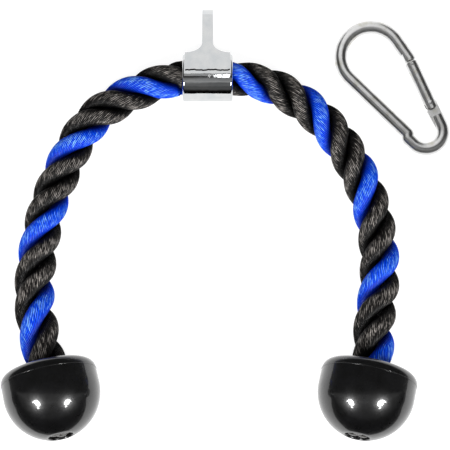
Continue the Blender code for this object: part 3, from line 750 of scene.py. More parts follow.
def fibre(name, groove_shade, plain, half_lit, lit, gloss):
    """Filament yarn of one colour: painted shade in grooves, plain on yarns, painted sheen on a few threads.
    """
    material, tree, shader = new_material(name, Roughness=gloss, Specular_IOR_Level=0.18)
    straight = add(tree, "ShaderNodeAttribute", attribute_name="straight").outputs["Vector"]
    crest = add(tree, "ShaderNodeAttribute", attribute_name="crest").outputs["Fac"]
    height = add(tree, "ShaderNodeAttribute", attribute_name="height").outputs["Fac"]

    # Painted highlight: threads get a lighter colour on the crest of a yarn and on the outside of the rope
    cells = (1 / bundle_width, 1 / bundle_width, 1 / bundle_run)
    stretched = add(tree, "ShaderNodeMapping", {"Vector": straight, "Scale": cells})
    threads = add(tree, "ShaderNodeTexNoise", {"Vector": stretched, "Scale": 1.0, "Detail": 2.0})
    raised = add(tree, "ShaderNodeMapRange", {0: crest, 3: -0.08, 4: 0.04})
    outermost = add(tree, "ShaderNodeMapRange", [height, 0.84, 0.99, -0.14, 0.04])
    caught = add(tree, "ShaderNodeMath", [raised, outermost], operation="ADD")
    light_thread = add(tree, "ShaderNodeMath", [threads, caught], operation="ADD")
    ramp = add(tree, "ShaderNodeValToRGB", [light_thread])
    paint_ramp(ramp, [(0.42, plain), (0.53, half_lit), (0.66, lit)])

    # The painted sheen comes and goes along the rope, and painted shade darkens the grooves
    fades = add(tree, "ShaderNodeTexNoise", {"Vector": straight, "Scale": 1 / fade_width})
    faded = add(tree, "ShaderNodeMapRange", [fades, 0.35, 0.65, 0.0, 0.6])
    painted_sheen = add(tree, "ShaderNodeMix", {0: faded, 6: ramp, 7: linear(plain)}, data_type="RGBA").outputs[2]
    # Painted shade: a darker colour is mixed in between the yarns and in the valleys between the strands
    yarn_unshaded = add(tree, "ShaderNodeMapRange", [crest, 0.1, 0.75])
    strand_unshaded = add(tree, "ShaderNodeMapRange", [height, 0.68, 0.92])
    unshaded_share = add(tree, "ShaderNodeMath", [yarn_unshaded, strand_unshaded], operation="MULTIPLY")
    shaded = add(tree, "ShaderNodeMix", {0: unshaded_share, 6: linear(groove_shade), 7: painted_sheen}, data_type="RGBA")
    relief = {"Height": threads, "Strength": 0.8, "Distance": bundle_relief}
    feed(shader, {"Base Color": shaded.outputs[2], "Normal": add(tree, "ShaderNodeBump", relief)})
    return material


black_fibre = fibre("black_polypropylene_yarn", "#030303", "#0c0b0b", "#2e2c2a", "#a39d98", 0.36)
blue_fibre = fibre("blue_polypropylene_yarn", "#001058", "#003ad6", "#005cf0", "#86c0ff", 0.38)
print("fibres", black_fibre.name, blue_fibre.name)

# %% [markdown]
# ## Where the blue strand runs
#
# The lay of a real rope is never quite even. The blue strand is easy to follow, so its place is known at
# a few distances from the collar, as the turns it has made. A cubic through them gives the turn at every
# distance, and all three strands use it. The collar squeezes the rope, and further out the lay loosens,
# so the girth grows by a sixth from the collar to the ball.

# %% Lay and girth
blue_places = {
    "left": [(0.0, -0.137), (0.07, 0.789), (0.14, 1.769), (0.21, 2.729), (0.29, 3.705)],
    "right": [(0.0, 0.159), (0.07, 1.137), (0.14, 2.156), (0.21, 3.158), (0.29, 4.205)],
}
girths = [(0.0, 1.0), (0.015, 1.02), (0.036, 1.042), (0.07, 1.057), (0.13, 1.073), (0.18, 1.095)]
girths += [(0.22, 1.123), (0.26, 1.145), (0.29, 1.16), (0.295, 1.11)]
inside_collar = 0.003
inside_ball = 0.004
rope_values = {
    "Section": section_guide,
    "Columns": yarns * columns_per_yarn,
    "Yarns": float(yarns),
    "Yarn depth": yarn_depth,
    "Unevenness": yarn_unevenness,
    "Yarn turns": yarn_turns_per_lay,
    "Strand offset": strand_offset,
    "Strand radius": strand_mean_radius,
    "Rope radius": rope_diameter / 2,
    "Black fibre": black_fibre,
    "Blue fibre": blue_fibre,
}


def lay_of(side, places):
    """Turns of the blue strand at distances from the collar's mouth."""
    known = np.array(blue_places[side])
    return np.polyval(np.polyfit(known[:, 0], known[:, 1], 3), places)


def girth_of(places):
    """The rope's girth, as a share of its size in the collar, at distances from the collar's mouth."""
    return np.interp(places, *zip(*girths))


def centreline_mesh(name, points, lay, girth):
    """A line of edges that carries the lay and the girth of the rope at each of its points."""
    mesh = bpy.data.meshes.new(name)
    edges = [(i, i + 1) for i in range(len(points) - 1)]
    mesh.from_pydata([tuple(point) for point in points], edges, [])
    for key, values in (("lay", lay), ("girth", girth)):
        attribute = mesh.attributes.new(key, "FLOAT", "POINT")
        attribute.data.foreach_set("value", np.array(values, dtype=np.float32))
    return mesh


def laid_piece(name, points, lay, girth):
    """A rope piece along a centreline, turned into a plain mesh."""
    length = float(distances(points)[-1])
    values = {**rope_values, "Length": length, "Rings": max(3, round(length / ring_step))}
    line = centreline_mesh(name + "_line", points, lay, girth)
    return grown(name, line, laid_rope, laid_rope_ids, values)


for side in blue_places:
    print(side, "arm, turns of the blue strand in 0.1 m", np.round(np.diff(lay_of(side, [0.1, 0.2])), 2))

# %% [markdown]
# ## The two arms
#
# Each arm is one length of rope from just inside the collar to just inside its ball.

# %% Arms
for side, sign in (("left", -1), ("right", 1)):
    line = lines[side]
    mouth = line[0]
    start = mouth - Vector((sign * inside_collar, 0, 0))
    _, up_rope = ball_frame(side)
    whole = [start, *line, line[-1] - up_rope * inside_ball]
    total = float(distances(whole)[-1])
    points, places = evenly(whole, 0, total, ceil(total / ring_step))
    places = places - inside_collar
    arm = laid_piece("rope_arm_" + side, points, lay_of(side, places), girth_of(places))
    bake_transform(arm)
    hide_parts("rope_" + side + "_bend", "rope_" + side)

# %% [markdown]
# ## Outlines
#
# Every turned or sawn piece starts as a flat outline. Its corners could be typed as many small points, but
# then a size couldn't change later. So a corner is one point with its own radius, because no real edge is
# perfectly sharp, and round stretches are arcs.


# %% Outlines with rounded corners
def rounded_outline(corners, turn=radians(9)):
    """A closed outline whose corners, given as x, y and radius, are rounded off."""
    outline = []
    for index, (x, y, radius) in enumerate(corners):
        corner = Vector((x, y))
        if not radius:
            outline.append(tuple(corner))
            continue
        back = (Vector(corners[index - 1][:2]) - corner).normalized()
        ahead = (Vector(corners[(index + 1) % len(corners)][:2]) - corner).normalized()
        half = acos(max(-1.0, min(1.0, back.dot(ahead)))) / 2
        centre = corner + (back + ahead).normalized() * radius / sin(half)
        first = corner + back * radius / tan(half) - centre
        last = corner + ahead * radius / tan(half) - centre
        start = atan2(first.y, first.x)
        sweep = (atan2(last.y, last.x) - start + pi) % tau - pi
        outline += arc(centre, radius, start, start + sweep, turn)
    return outline


def arc(centre, radius, start, end, turn=radians(4)):
    """Points on an arc, both ends included."""
    count = max(1, ceil(abs(end - start) / turn))
    angles = [start + (end - start) * step / count for step in range(count + 1)]
    return [(centre[0] + radius * cos(a), centre[1] + radius * sin(a)) for a in angles]


print("points in a quarter round", len(arc((0, 0), 1.0, 0, pi / 2)))

# %% [markdown]
# ## Turned, sawn and bent shapes
#
# Most of the hardware is turned about an axis, sawn from plate or bent from round bar. The same shapes could
# come from the screw, solidify and curve tools, but here they are small rings of points joined one to the
# next, because that keeps exact control of where each face lies. Edges that meet at more than 35 degrees
# stay sharp in the shading, and all the others look smooth.

# %% Turned solids, plates and bars
sharp_from = radians(35)


def solid(name, builder, place, *materials):
    """A named piece from a bmesh: faces outwards, in its place, smooth but for its sharp edges."""
    bmesh.ops.remove_doubles(builder, verts=builder.verts, dist=1e-7)
    bmesh.ops.recalc_face_normals(builder, faces=builder.faces)
    mesh = bpy.data.meshes.new(name)
    builder.to_mesh(mesh)
    builder.free()
    mesh.transform(place)
    mesh.shade_smooth()
    mesh.set_sharp_from_angle(angle=sharp_from)
    return link(name, mesh, *materials)


def ring_faces(builder, here, there):
    """Faces all the way round between two rings of points, either of which may be a single point."""
    count = max(len(here), len(there))
    for i in range(count if count > 1 else 0):
        j = (i + 1) % count
        corners = (here[i % len(here)], here[j % len(here)], there[j % len(there)], there[i % len(there)])
        builder.faces.new(dict.fromkeys(corners))


def turned(name, section, place, *materials, segments=96):
    """A solid turned about the Z of its place, from a closed section of radius and height."""
    builder = bmesh.new()
    rings = []
    for radius, height in section:
        angles = [tau * step / segments for step in range(segments if radius else 1)]
        rings.append([builder.verts.new((radius * cos(a), radius * sin(a), height)) for a in angles])
    for here, there in zip(rings, rings[1:] + rings[:1]):
        ring_faces(builder, here, there)
    return solid(name, builder, place, *materials)


def cutter(name, radius, reach, place, segments):
    """A plain cylinder to cut with, which reaches as far up as down the Z of its place."""
    section = [(0, -reach), (radius, -reach), (radius, reach), (0, reach)]
    return turned(name, section, place, segments=segments)


def plate(name, outline, low, high, place, *materials):
    """A flat plate from an outline in X and Y, between two heights."""
    builder = bmesh.new()
    floor, roof = [[builder.verts.new((x, y, z)) for x, y in outline] for z in (low, high)]
    builder.faces.new(floor)
    builder.faces.new(roof)
    ring_faces(builder, floor, roof)
    return solid(name, builder, place, *materials)


def swept_bar(name, line, radius, place, material, segments=56):
    """A round bar along a flat line, with a flat face at each end."""
    builder = bmesh.new()
    up = Vector((0, 0, 1))
    rings = []
    for index, spot in enumerate(line):
        before = (spot - line[index - 1]).normalized() if index else None
        after = (line[index + 1] - spot).normalized() if index < len(line) - 1 else None
        run = ((before or after) + (after or before)).normalized()
        side = run.cross(up) / max(0.5, run.dot(after or before))
        angles = [tau * (step + 0.5) / segments for step in range(segments)]
        rings.append([builder.verts.new(spot + (side * cos(a) + up * sin(a)) * radius) for a in angles])
    for here, there in zip(rings, rings[1:]):
        ring_faces(builder, here, there)
    builder.faces.new(rings[0])
    builder.faces.new(rings[-1])
    return solid(name, builder, place, material)


# %% [markdown]
# ## Cutting, joining and rounding
#
# Holes are cut and tongues joined on with the boolean modifier, and a bevel rounds the edges that are left.
# They could stay modifiers, but the next cut needs the last one's result, so each is made part of the mesh
# at once. A last modifier keeps the wide flat faces flat in the shading, right up to their rounded edges.


# %% Modifiers made permanent
def apply(obj, kind, **settings):
    """Give an object a modifier with its own settings, and make what it does part of the mesh."""
    modifier = obj.modifiers.new(kind.lower(), kind)
    for name, value in settings.items():
        setattr(modifier, name, value)
    mesh = plain_mesh(obj)
    mesh.name = obj.data.name
    obj.modifiers.clear()
    obj.data = mesh


def combine(target, tool, operation="DIFFERENCE"):
    """Cut the tool out of the target, or join it on, and take the tool away."""
    apply(target, "BOOLEAN", operation=operation, solver="EXACT", object=tool)
    bpy.data.objects.remove(tool, do_unlink=True)


def soften(obj, width, segments, limit=radians(40)):
    """Round the sharp edges that are left, as tumbling and plating do."""
    apply(obj, "BEVEL", width=width, segments=segments, limit_method="ANGLE", angle_limit=limit)
    even_shade(obj)


def even_shade(obj):
    """Smooth shading in which wide flat faces keep their own direction, up to their rounded edges."""
    obj.data.shade_smooth()
    obj.data.set_sharp_from_angle(angle=sharp_from)
    apply(obj, "WEIGHTED_NORMAL", keep_sharp=True)


# %% [markdown]
# ## Places for leaning pieces
#
# The balls lean, the gate is turned, and the sleeve lies on its side. Each is built standing at the origin,
# where its numbers are simple, and a place then moves it: three directions and a point in one matrix.


# %% Places
def frame_along(origin, direction, up):
    """A place with X along a direction, and Z as near as can be to another, at an origin."""
    x = Vector(direction).normalized()
    y = Vector(up).cross(x).normalized()
    place = Matrix((x, y, x.cross(y))).transposed().to_4x4()
    place.translation = origin
    return place


def axis_frame(origin, direction):
    """A place whose Z lies along a direction."""
    place = Vector(direction).to_track_quat("Z", "Y").to_matrix().to_4x4()
    place.translation = origin
    return place


for side in ("left", "right"):
    lean = ball_frame(side)[1].angle(Vector((0, 0, 1)))
    print(side, "ball leans from upright, degrees", round(float(np.degrees(lean)), 1))

# %% [markdown]
# ## Metals and plastic
#
# No surface is perfectly even, so every hard material has three slow patterns: its tint, its roughness and
# its relief each follow noise whose cells have a real size. Chrome plate over hand-polished steel mirrors
# the studio and rolls a little from the polishing wheel. Zinc plate is satin, with a fine even grain and
# faint warm stains. The balls are injection-moulded ABS, glossy from a polished mould, with a faint
# waviness where the thick wall shrank. The rope's ends are melted with a hot knife, lumpy and burnt dark.


# %% Hard materials
polishing_wave = 0.006
plate_patch = 0.008
plate_grain = 0.0004
mould_wave = 0.012
melt_grain = 0.002


def hard_material(name, tints, haze, relief=None, **values):
    """A hard material of uneven tint, haze and relief.

    Each pattern starts with its cell size and its detail. Tints add colour stops, haze adds the lowest and
    the highest roughness, and relief adds a strength and a depth.
    """
    material, tree, shader = new_material(name, **values)
    place = add(tree, "ShaderNodeTexCoord").outputs["Object"]
    size, detail, stops = tints
    patches = add(tree, "ShaderNodeTexNoise", {"Vector": place, "Scale": 1 / size, "Detail": detail})
    tint = paint_ramp(add(tree, "ShaderNodeValToRGB", [patches]), stops)
    size, detail, clearest, haziest = haze
    grain = add(tree, "ShaderNodeTexNoise", {"Vector": place, "Scale": 1 / size, "Detail": detail})
    roughness = add(tree, "ShaderNodeMapRange", {0: grain, 3: clearest, 4: haziest})
    feed(shader, {"Base Color": tint, "Roughness": roughness})
    if relief:
        size, detail, strength, depth = relief
        wave = add(tree, "ShaderNodeTexNoise", {"Vector": place, "Scale": 1 / size, "Detail": detail})
        bump = add(tree, "ShaderNodeBump", {"Height": wave, "Strength": strength, "Distance": depth})
        feed(shader, {"Normal": bump, "Coat Normal": bump})
    return material


def zinc_plate(name, bright, dull, stain, roughness):
    """Satin plated steel: a grain fine enough to spread reflections evenly, and stains of another tint."""
    return hard_material(
        name,
        tints=(plate_patch, 3.0, [(0.30, stain), (0.45, dull), (0.70, bright)]),
        haze=(plate_grain, 3.0, roughness - 0.06, roughness + 0.08),
        relief=(plate_grain, 3.0, 0.25, 0.00005),
        Metallic=1.0,
    )


# Mirror bright: the eye sees the panels and the dark room, broken by a slow ripple
chrome = hard_material(
    "polished_chrome_plate",
    tints=(plate_patch, 2.0, [(0.3, "#cfd2d4"), (0.7, "#dadbdb")]),
    haze=(plate_patch / 2, 2.0, 0.04, 0.10),
    relief=(polishing_wave, 1.0, 1.0, 0.00012),
    Metallic=1.0,
)
# Wet-looking black: small sharp lamp reflections in the coat over a softer glow
black_abs = hard_material(
    "glossy_black_moulded_abs",
    tints=(mould_wave, 2.0, [(0.3, "#060606"), (0.7, "#0c0c0d")]),
    haze=(mould_wave / 4, 3.0, 0.24, 0.34),
    relief=(mould_wave, 1.0, 0.5, 0.0003),
    Specular_IOR_Level=0.4,
    Coat_Weight=0.8,
    Coat_Roughness=0.04,
    Coat_IOR=1.6,
)
# Dark brown, with glints on its lumps
fused_fibre = hard_material(
    "fused_polypropylene_end",
    tints=(melt_grain, 2.0, [(0.35, "#0a0908"), (0.7, "#35312d")]),
    haze=(melt_grain / 2, 2.0, 0.12, 0.35),
    Specular_IOR_Level=0.6,
)
# A pale, soft sheen on the hook, a greyer one on the hidden steel, and dark steel for a painted reflection
# line
hook_steel = zinc_plate("satin_zinc_plated_bar", "#ededed", "#dededd", "#cdcbc2", 0.29)
plain_steel = zinc_plate("bright_zinc_plated_steel", "#cfd0d2", "#bfc1c4", "#b4b6ba", 0.30)
painted_dark_line_steel = zinc_plate("bare_weld_seam", "#2c2c2c", "#1e1d1c", "#161412", 0.45)
hard_materials = (chrome, black_abs, fused_fibre, hook_steel, plain_steel, painted_dark_line_steel)
print("hard materials", [material.name for material in hard_materials])

# %% [markdown]
# ## Collar
#
# A short steel tube is pushed over the rope and pressed on. Its outer corners are rolled over, so that it
# doesn't chafe the hands or the strands. It is a turned shape: one section, spun round the rope's axis.

# %% Sleeve
collar_wall = 0.00445
collar_edge_radius = 0.0018
bore_edge_radius = 0.0006
bore_radius = rope_diameter / 2 + touching_gap
collar_radius = bore_radius + collar_wall
half_collar = collar_length / 2
rope_axis = axis_frame(collar_middle, (1, 0, 0))
sleeve_section = rounded_outline(
    [
        (bore_radius, -half_collar, bore_edge_radius),
        (bore_radius, half_collar, bore_edge_radius),
        (collar_radius, half_collar, collar_edge_radius),
        (collar_radius, -half_collar, collar_edge_radius),
    ]
)
sleeve = turned("collar", sleeve_section, rope_axis, chrome, segments=160)
dress(sleeve, "collar_and_hook", "chrome", "collar_sleeve")
print("collar, mm across", round(collar_radius * 2000, 1))

# %% [markdown]
# ## Hanger lug
#
# The lug is an 8 mm plate on edge, rounded at its end, with an eye that takes a snap hook. Its foot flares
# along the sleeve. A plate, a foot and two round cutters make it: one for the eye, and one as thick as the
# sleeve, which hollows the foot to sit on it. A bevel rounds the edges before the foot is hollowed.

# %% Lug
lug_thickness = 0.0084
lug_end_radius = 0.0184
lug_eye_distance = 0.0364
lug_eye_radius = 0.0095
lug_foot_radius = 0.0079
lug_foot_spread = 0.0135
lug_foot_sink = 0.0024
lug_edge_radius = 0.0012
weld_bite = 0.0004
root_depth = 0.004
lug_root = collar_radius * cos(asin(lug_end_radius / collar_radius)) - root_depth
lug_half = lug_thickness / 2
crosswise = frame_along(collar_middle, (0, 1, 0), (1, 0, 0))
lug_outline = [(lug_root, -lug_end_radius)]
lug_outline += arc((lug_eye_distance, 0), lug_end_radius, -pi / 2, pi / 2)
lug_outline.append((lug_root, lug_end_radius))
lug = plate("hanger", lug_outline, -lug_half, lug_half, crosswise, chrome)
foot_reach = lug_half + lug_foot_spread
foot_crest = collar_radius - lug_foot_sink + lug_foot_radius
flank = [(lug_foot_spread * x, lug_foot_radius * y) for x, y in arc((0, 0), 1.0, -pi / 2, 0)]
foot_outline = [(-foot_reach, lug_root)]
foot_outline += [(-foot_reach + x, foot_crest + y) for x, y in flank]
foot_outline += [(foot_reach - x, foot_crest + y) for x, y in reversed(flank)]
foot_outline.append((foot_reach, lug_root))
flatwise = Matrix.Translation(collar_middle)
combine(lug, plate("foot", foot_outline, -lug_end_radius, lug_end_radius, flatwise), "UNION")
eye_place = axis_frame(collar_middle + Vector((0, lug_eye_distance, 0)), (1, 0, 0))
combine(lug, cutter("eye", lug_eye_radius, lug_thickness, eye_place, 96))
soften(lug, lug_edge_radius, 4)
combine(lug, cutter("saddle", collar_radius - weld_bite, collar_length, rope_axis, 160))
even_shade(lug)
dress(lug, "collar_and_hook", "chrome", "hanger_lug")
print("lug faces", len(lug.data.polygons))

# %% [markdown]
# ## Painted reflection line
#
# On top of the sleeve, just in front of the lug's foot, runs a thin dark line. It is painted reflection: a
# thin dark bar standing in for the dark band that the chrome mirrors there. It wanders a little.

# %% Painted reflection line
dark_line_radius = 0.0006
dark_line_place = 0.0022
dark_line_inset = 0.0022
dark_line_steps = 80
dark_line_wave = 0.00025
dark_line_wanders = [(400, 1.0, 0), (1100, 0.6, 1), (2300, 0.4, 0)]
dark_line_half = half_collar - dark_line_inset
dark_line_path = []
for step in range(dark_line_steps + 1):
    x = dark_line_half * (2 * step / dark_line_steps - 1)
    wander = sum(share * sin(x * pace + phase) for pace, share, phase in dark_line_wanders)
    dark_line_path.append(Vector((x, dark_line_place + dark_line_wave * wander, 0)))
dark_line_height = sqrt(collar_radius**2 - dark_line_place**2)
dark_line_level = Matrix.Translation(collar_middle + Vector((0, 0, dark_line_height)))
dark_line = swept_bar("weld_seam", dark_line_path, dark_line_radius, dark_line_level, painted_dark_line_steel, segments=12)
dress(dark_line, "collar_and_hook", "chrome")
print("seam, mm long", round(dark_line_half * 2000, 1))

# %% [markdown]
# ## Rope inside the collar
#
# The strands run on through the sleeve. The same tree lays them, with the lay carried over from one mouth
# to the other.

# %% Gripped rope
lay_in_collar = (0.637, 1.159)
joint_gap = 0.0002
grip_half = half_collar - inside_collar - joint_gap
grip_ends = [collar_middle - Vector((grip_half, 0, 0)), collar_middle + Vector((grip_half, 0, 0))]
grip_points, grip_places = evenly(grip_ends, 0, 2 * grip_half, 24)
grip_share = (grip_places + inside_collar + joint_gap) / collar_length
grip_lay = lay_in_collar[0] + (lay_in_collar[1] - lay_in_collar[0]) * grip_share
gripped = laid_piece("rope_under_collar", grip_points, grip_lay, np.ones(len(grip_points)))
dress(gripped, "collar_and_hook", "rope", "rope_in_collar")
print(gripped.name, "faces", len(gripped.data.polygons))

# %% [markdown]
# ## Balls
#
# Each ball is a thick moulding: round below its widest ring, nearly straight above it, with a fine bead
# where the mould parted, a soft shoulder and a shallow crown that the rope goes into. Underneath, a hole
# shows the melted end of the rope. Inside, pockets hold a washer and a crimped ferrule.

# %% Ball section
ball_radius = 0.0373
ball_wall_draft = radians(0.5)
ball_top_edge_radius = 0.0079
ball_hole_radius = 0.0095
ball_hole_depth = 0.0040
ball_hole_edge_radius = 0.0012
ball_lip_radius = 0.0012
parting_bead_radius = 0.0003
rope_mouth_diameter = 0.0326
ball_mouth_radius = rope_mouth_diameter / 2 + touching_gap
washer_radius = 0.025
ferrule_wall = 0.0035
ferrule_length = 0.014
retainer_edge = 0.0006
ball_top = ball_wall_height + ball_crown_height
washer_seat = ball_top - washer_depth
tail_floor = ball_hole_depth - sqrt(ball_radius**2 - ball_hole_radius**2)


def ball_section():
    """The ball's section: mouth, crown, shoulder, wall, round bottom, hole, and the pockets inside."""
    wall_top_radius = ball_radius - ball_wall_height * tan(ball_wall_draft)
    shoulder = (wall_top_radius - ball_top_edge_radius, ball_wall_height - ball_top_edge_radius)
    lip = (ball_mouth_radius + ball_lip_radius, ball_top - ball_lip_radius)
    section = arc(lip, ball_lip_radius, pi, pi * 0.47, radians(9))
    section += arc(shoulder, ball_top_edge_radius, radians(80), ball_wall_draft)
    bead = (wall_top_radius, shoulder[1] - parting_bead_radius)
    section += arc(bead, parting_bead_radius, pi / 2, -pi / 2, radians(30))
    hole_ring = ball_hole_radius + ball_hole_edge_radius
    section += arc((0, 0), ball_radius, 0, -acos(hole_ring / ball_radius))
    hole_foot = -sqrt(ball_radius**2 - hole_ring**2) + ball_hole_edge_radius
    section += arc((hole_ring, hole_foot), ball_hole_edge_radius, -pi / 2, -pi, radians(15))
    pocket_floor = tail_floor - touching_gap
    washer_low = washer_seat - washer_thickness - 2 * touching_gap
    ferrule_low = washer_low - ferrule_length - touching_gap
    ferrule_bore = rope_diameter / 2 + ferrule_wall + 2 * touching_gap
    washer_bore = washer_radius + touching_gap
    section += [(ball_hole_radius, pocket_floor), (bore_radius, pocket_floor), (bore_radius, ferrule_low)]
    section += [(ferrule_bore, ferrule_low), (ferrule_bore, washer_low), (washer_bore, washer_low)]
    return section + [(washer_bore, washer_seat), (bore_radius, washer_seat)]


def ring_section(outer, low, high):
    """The section of a flat ring round the rope, with rounded edges."""
    corners = [(bore_radius, low), (bore_radius, high), (outer, high), (outer, low)]
    return rounded_outline([(*corner, retainer_edge) for corner in corners], radians(30))


print("points in the ball's section", len(ball_section()))

# %% [markdown]
# ## Melted rope ends
#
# A hot knife seals each end of the rope, and the three strands melt into three lumps that run together. The
# end is a disc of rings of points, and each point stands out by the height of the lumps over it.

# %% Melted end
lump_offset = 0.0045
lump_radius = 0.0048
lump_height = 0.0022
melt_skin = 0.0005
melt_radius = ball_hole_radius - joint_gap
melt_rings = 14
melt_columns = 60


def melt_height(spot, lumps):
    """How far the melt stands out at a spot: the soft maximum of the domes over it."""
    domes = [max(0.0, 1 - ((spot - lump).length / lump_radius) ** 2) for lump in lumps]
    return melt_skin + lump_height * sum(dome**2 for dome in domes) ** 0.25


def sealed_end(name, place, turn, *materials):
    """The melted end of the rope in the bottom hole of a ball."""
    turns = [turn + tau * strand / strand_count for strand in range(strand_count)]
    lumps = [Vector((cos(a), sin(a))) * lump_offset for a in turns]
    angles = [tau * step / melt_columns for step in range(melt_columns)]
    builder = bmesh.new()
    rings = []
    for ring in range(1, melt_rings + 1):
        spots = [Vector((cos(a), sin(a))) * melt_radius * ring / melt_rings for a in angles]
        rings.append([builder.verts.new((*spot, -melt_height(spot, lumps))) for spot in spots])
    rings.append([builder.verts.new((v.co.x, v.co.y, 0)) for v in rings[-1]])
    peak = builder.verts.new((0, 0, -melt_height(Vector((0, 0)), lumps)))
    back = builder.verts.new((0, 0, 0))
    rings = [[peak], *rings, [back]]
    for here, there in zip(rings, rings[1:]):
        ring_faces(builder, here, there)
    return solid(name, builder, place, *materials)


# %% [markdown]
# ## What each arm ends in
#
# All of it lies on the ball's own axis, from the crown down: the ball, the washer that bears on its seat,
# the ferrule under the washer, and the rope's tail with its melted end.

# %% Ball, washer, ferrule and tail of each arm
tail_lay_length = 0.075
tail_points_count = 60
for side in ("left", "right"):
    centre, up_rope = ball_frame(side)
    place = axis_frame(centre, up_rope)
    ball = turned("moulded_ball_" + side, ball_section(), place, black_abs, segments=160)
    high = washer_seat - touching_gap
    low = high - washer_thickness
    washer_ring = ring_section(washer_radius, low, high)
    washer = turned("retaining_washer_" + side, washer_ring, place, plain_steel)
    high = low - touching_gap
    low = high - ferrule_length
    ferrule_ring = ring_section(bore_radius + ferrule_wall, low, high)
    ferrule = turned("crimped_ferrule_" + side, ferrule_ring, place, plain_steel)
    tail_ends = [centre + up_rope * (ball_top - inside_ball - joint_gap), centre + up_rope * tail_floor]
    tail_length = (tail_ends[1] - tail_ends[0]).length
    tail_points, tail_places = evenly(tail_ends, 0, tail_length, tail_points_count)
    free_length = float(distances(lines[side])[-1])
    tail_lay = lay_of(side, free_length + inside_ball) + tail_places / tail_lay_length
    tail_girth = np.interp(tail_places, [0, washer_depth - inside_ball], [girths[-1][1], 1])
    tail = laid_piece("rope_end_" + side, tail_points, tail_lay, tail_girth)
    seal_place = axis_frame(centre + up_rope * (tail_floor - joint_gap), up_rope)
    seal = sealed_end("melted_end_" + side, seal_place, tau * tail_lay[-1], fused_fibre)
    arm_body = side + "_arm"
    dress(ball, arm_body, "end_stop", "ball_" + side)
    dress(washer, arm_body, "plain_steel", "washer_" + side)
    dress(ferrule, arm_body, "plain_steel", "ferrule_" + side)
    dress(tail, arm_body, "rope", "rope_tail_" + side)
    dress(seal, arm_body, "rope")
    print(side, "ball faces", len(ball.data.polygons))

# %% [markdown]
# ## Snap hook
#
# The hook is one bent bar, wide at the head and narrow at the foot. Its nose and its foot end in flat
# tongues that were pressed from the bar: the gate's latch pin drops behind the one, and the gate's rivet
# goes through the other. The frame's rivet and latch pin say where the gate lies, and all the rest of the
# hook is laid out from there.

# %% Hook sizes and layout
hook_length = 0.122
bar_radius = 0.005
hook_head_radius = 0.0243
hook_foot_radius = 0.0136
joggle_step = 0.0025
joggle_length = 0.0035
joggle_lead = 0.004
joggle_distance = 0.0062
gate_head_offset = 0.0027
gate_foot_inset = 0.0009
shoulder_length = 0.0085
pivot_reach = 0.0113
nose_reach = 0.0378
nose_land = 0.0020
nose_flat_depth = 0.0010
nose_flat_length = 0.0065
tongue_half = 0.0018
tongue_flat_distance = 0.0025
nose_lip = 0.0016
gate_radius = 0.005
gate_bore_radius = 0.0039
gate_mouth_gap = 0.0018
ear_reach = 0.0050
rivet_radius = 0.0015
latch_pin_radius = 0.0010
latch_pin_inset = 0.0034
sliding_gap = 0.0004
cut_overrun = 0.001
hook_edge = 0.00025

gate_line_offset = hook_foot_radius - gate_foot_inset
centre_distance = hook_length - 2 * bar_radius - hook_head_radius - hook_foot_radius
foot_centre, head_centre = Vector((0, 0)), Vector((centre_distance, 0))
spine_offset = hook_foot_radius - joggle_step
spine_slope = asin((hook_head_radius - spine_offset) / centre_distance)
spine_out = Vector((-sin(spine_slope), -cos(spine_slope)))
spine_along = Vector((cos(spine_slope), -sin(spine_slope)))
gate_slope = asin((hook_head_radius + gate_head_offset - gate_line_offset) / centre_distance)
gate_out = Vector((-sin(gate_slope), cos(gate_slope)))
gate_along = Vector((cos(gate_slope), sin(gate_slope)))
rivet_spot = gate_out * gate_line_offset + gate_along * (shoulder_length + pivot_reach)
mouth_spot = rivet_spot + gate_along * nose_reach

rivet_middle = middle("gate_rivet")
gate_place = frame_along(rivet_middle, middle("latch_pin") - rivet_middle, (0, 0, -1))
layout_gate = Matrix.Translation(rivet_spot.to_3d()) @ Matrix.Rotation(gate_slope, 4, "Z")
hook_place = gate_place @ layout_gate.inverted()
print("hook's head, mm", [round(v * 1000, 1) for v in hook_place @ head_centre.to_3d()])

# %% [markdown]
# ## The line of the bar
#
# The real hook is bent from one round bar, so it is drawn as the line that the bar follows: straight at the
# nose, an arc over the head, a straight spine that steps outwards near its end, then an arc round the foot.
# Arcs and tangents give it exactly, where a freely drawn curve would only come near.


# %% Hook line
def hook_line():
    """The bar's centreline from the nose over the head, down the spine and round the foot."""
    nose = mouth_spot + gate_along * nose_land
    to_nose = nose - head_centre
    lean = atan2(to_nose.y, to_nose.x) - acos(hook_head_radius / to_nose.length)
    spine_angle = atan2(spine_out.y, spine_out.x)
    line = [tuple(mouth_spot), tuple(nose)]
    line += arc(head_centre, hook_head_radius, lean, spine_angle, radians(3))
    joggle_end = foot_centre + spine_out * hook_foot_radius + spine_along * joggle_distance
    joggle_start = foot_centre + spine_out * spine_offset + spine_along * (joggle_distance + joggle_length)
    line.append(tuple(joggle_start + spine_along * joggle_lead))
    steps = 10
    for step in range(steps + 1):
        share = step / steps
        eased = share * share * (3 - 2 * share)
        run = joggle_start.lerp(joggle_end, share)
        level = spine_offset + (hook_foot_radius - spine_offset) * eased
        line.append(tuple(run + spine_out * (level - run.dot(spine_out))))
    gate_angle = atan2(gate_out.y, gate_out.x) - tau
    line += arc(foot_centre, hook_foot_radius, spine_angle, gate_angle, radians(3))
    line.append(tuple(foot_centre + gate_out * hook_foot_radius + gate_along * shoulder_length))
    return [Vector((x, y, 0)) for x, y in line]


print("bar, mm from nose to foot", round(float(distances(hook_line())[-1]) * 1000, 1))

# %% [markdown]
# ## The tongues
#
# On the real hook the bar's two ends are pressed flat to fit in the gate's slot. Here each tongue is a
# plate with an outline of its own, in the gate's place, with the rivet's middle at the origin.

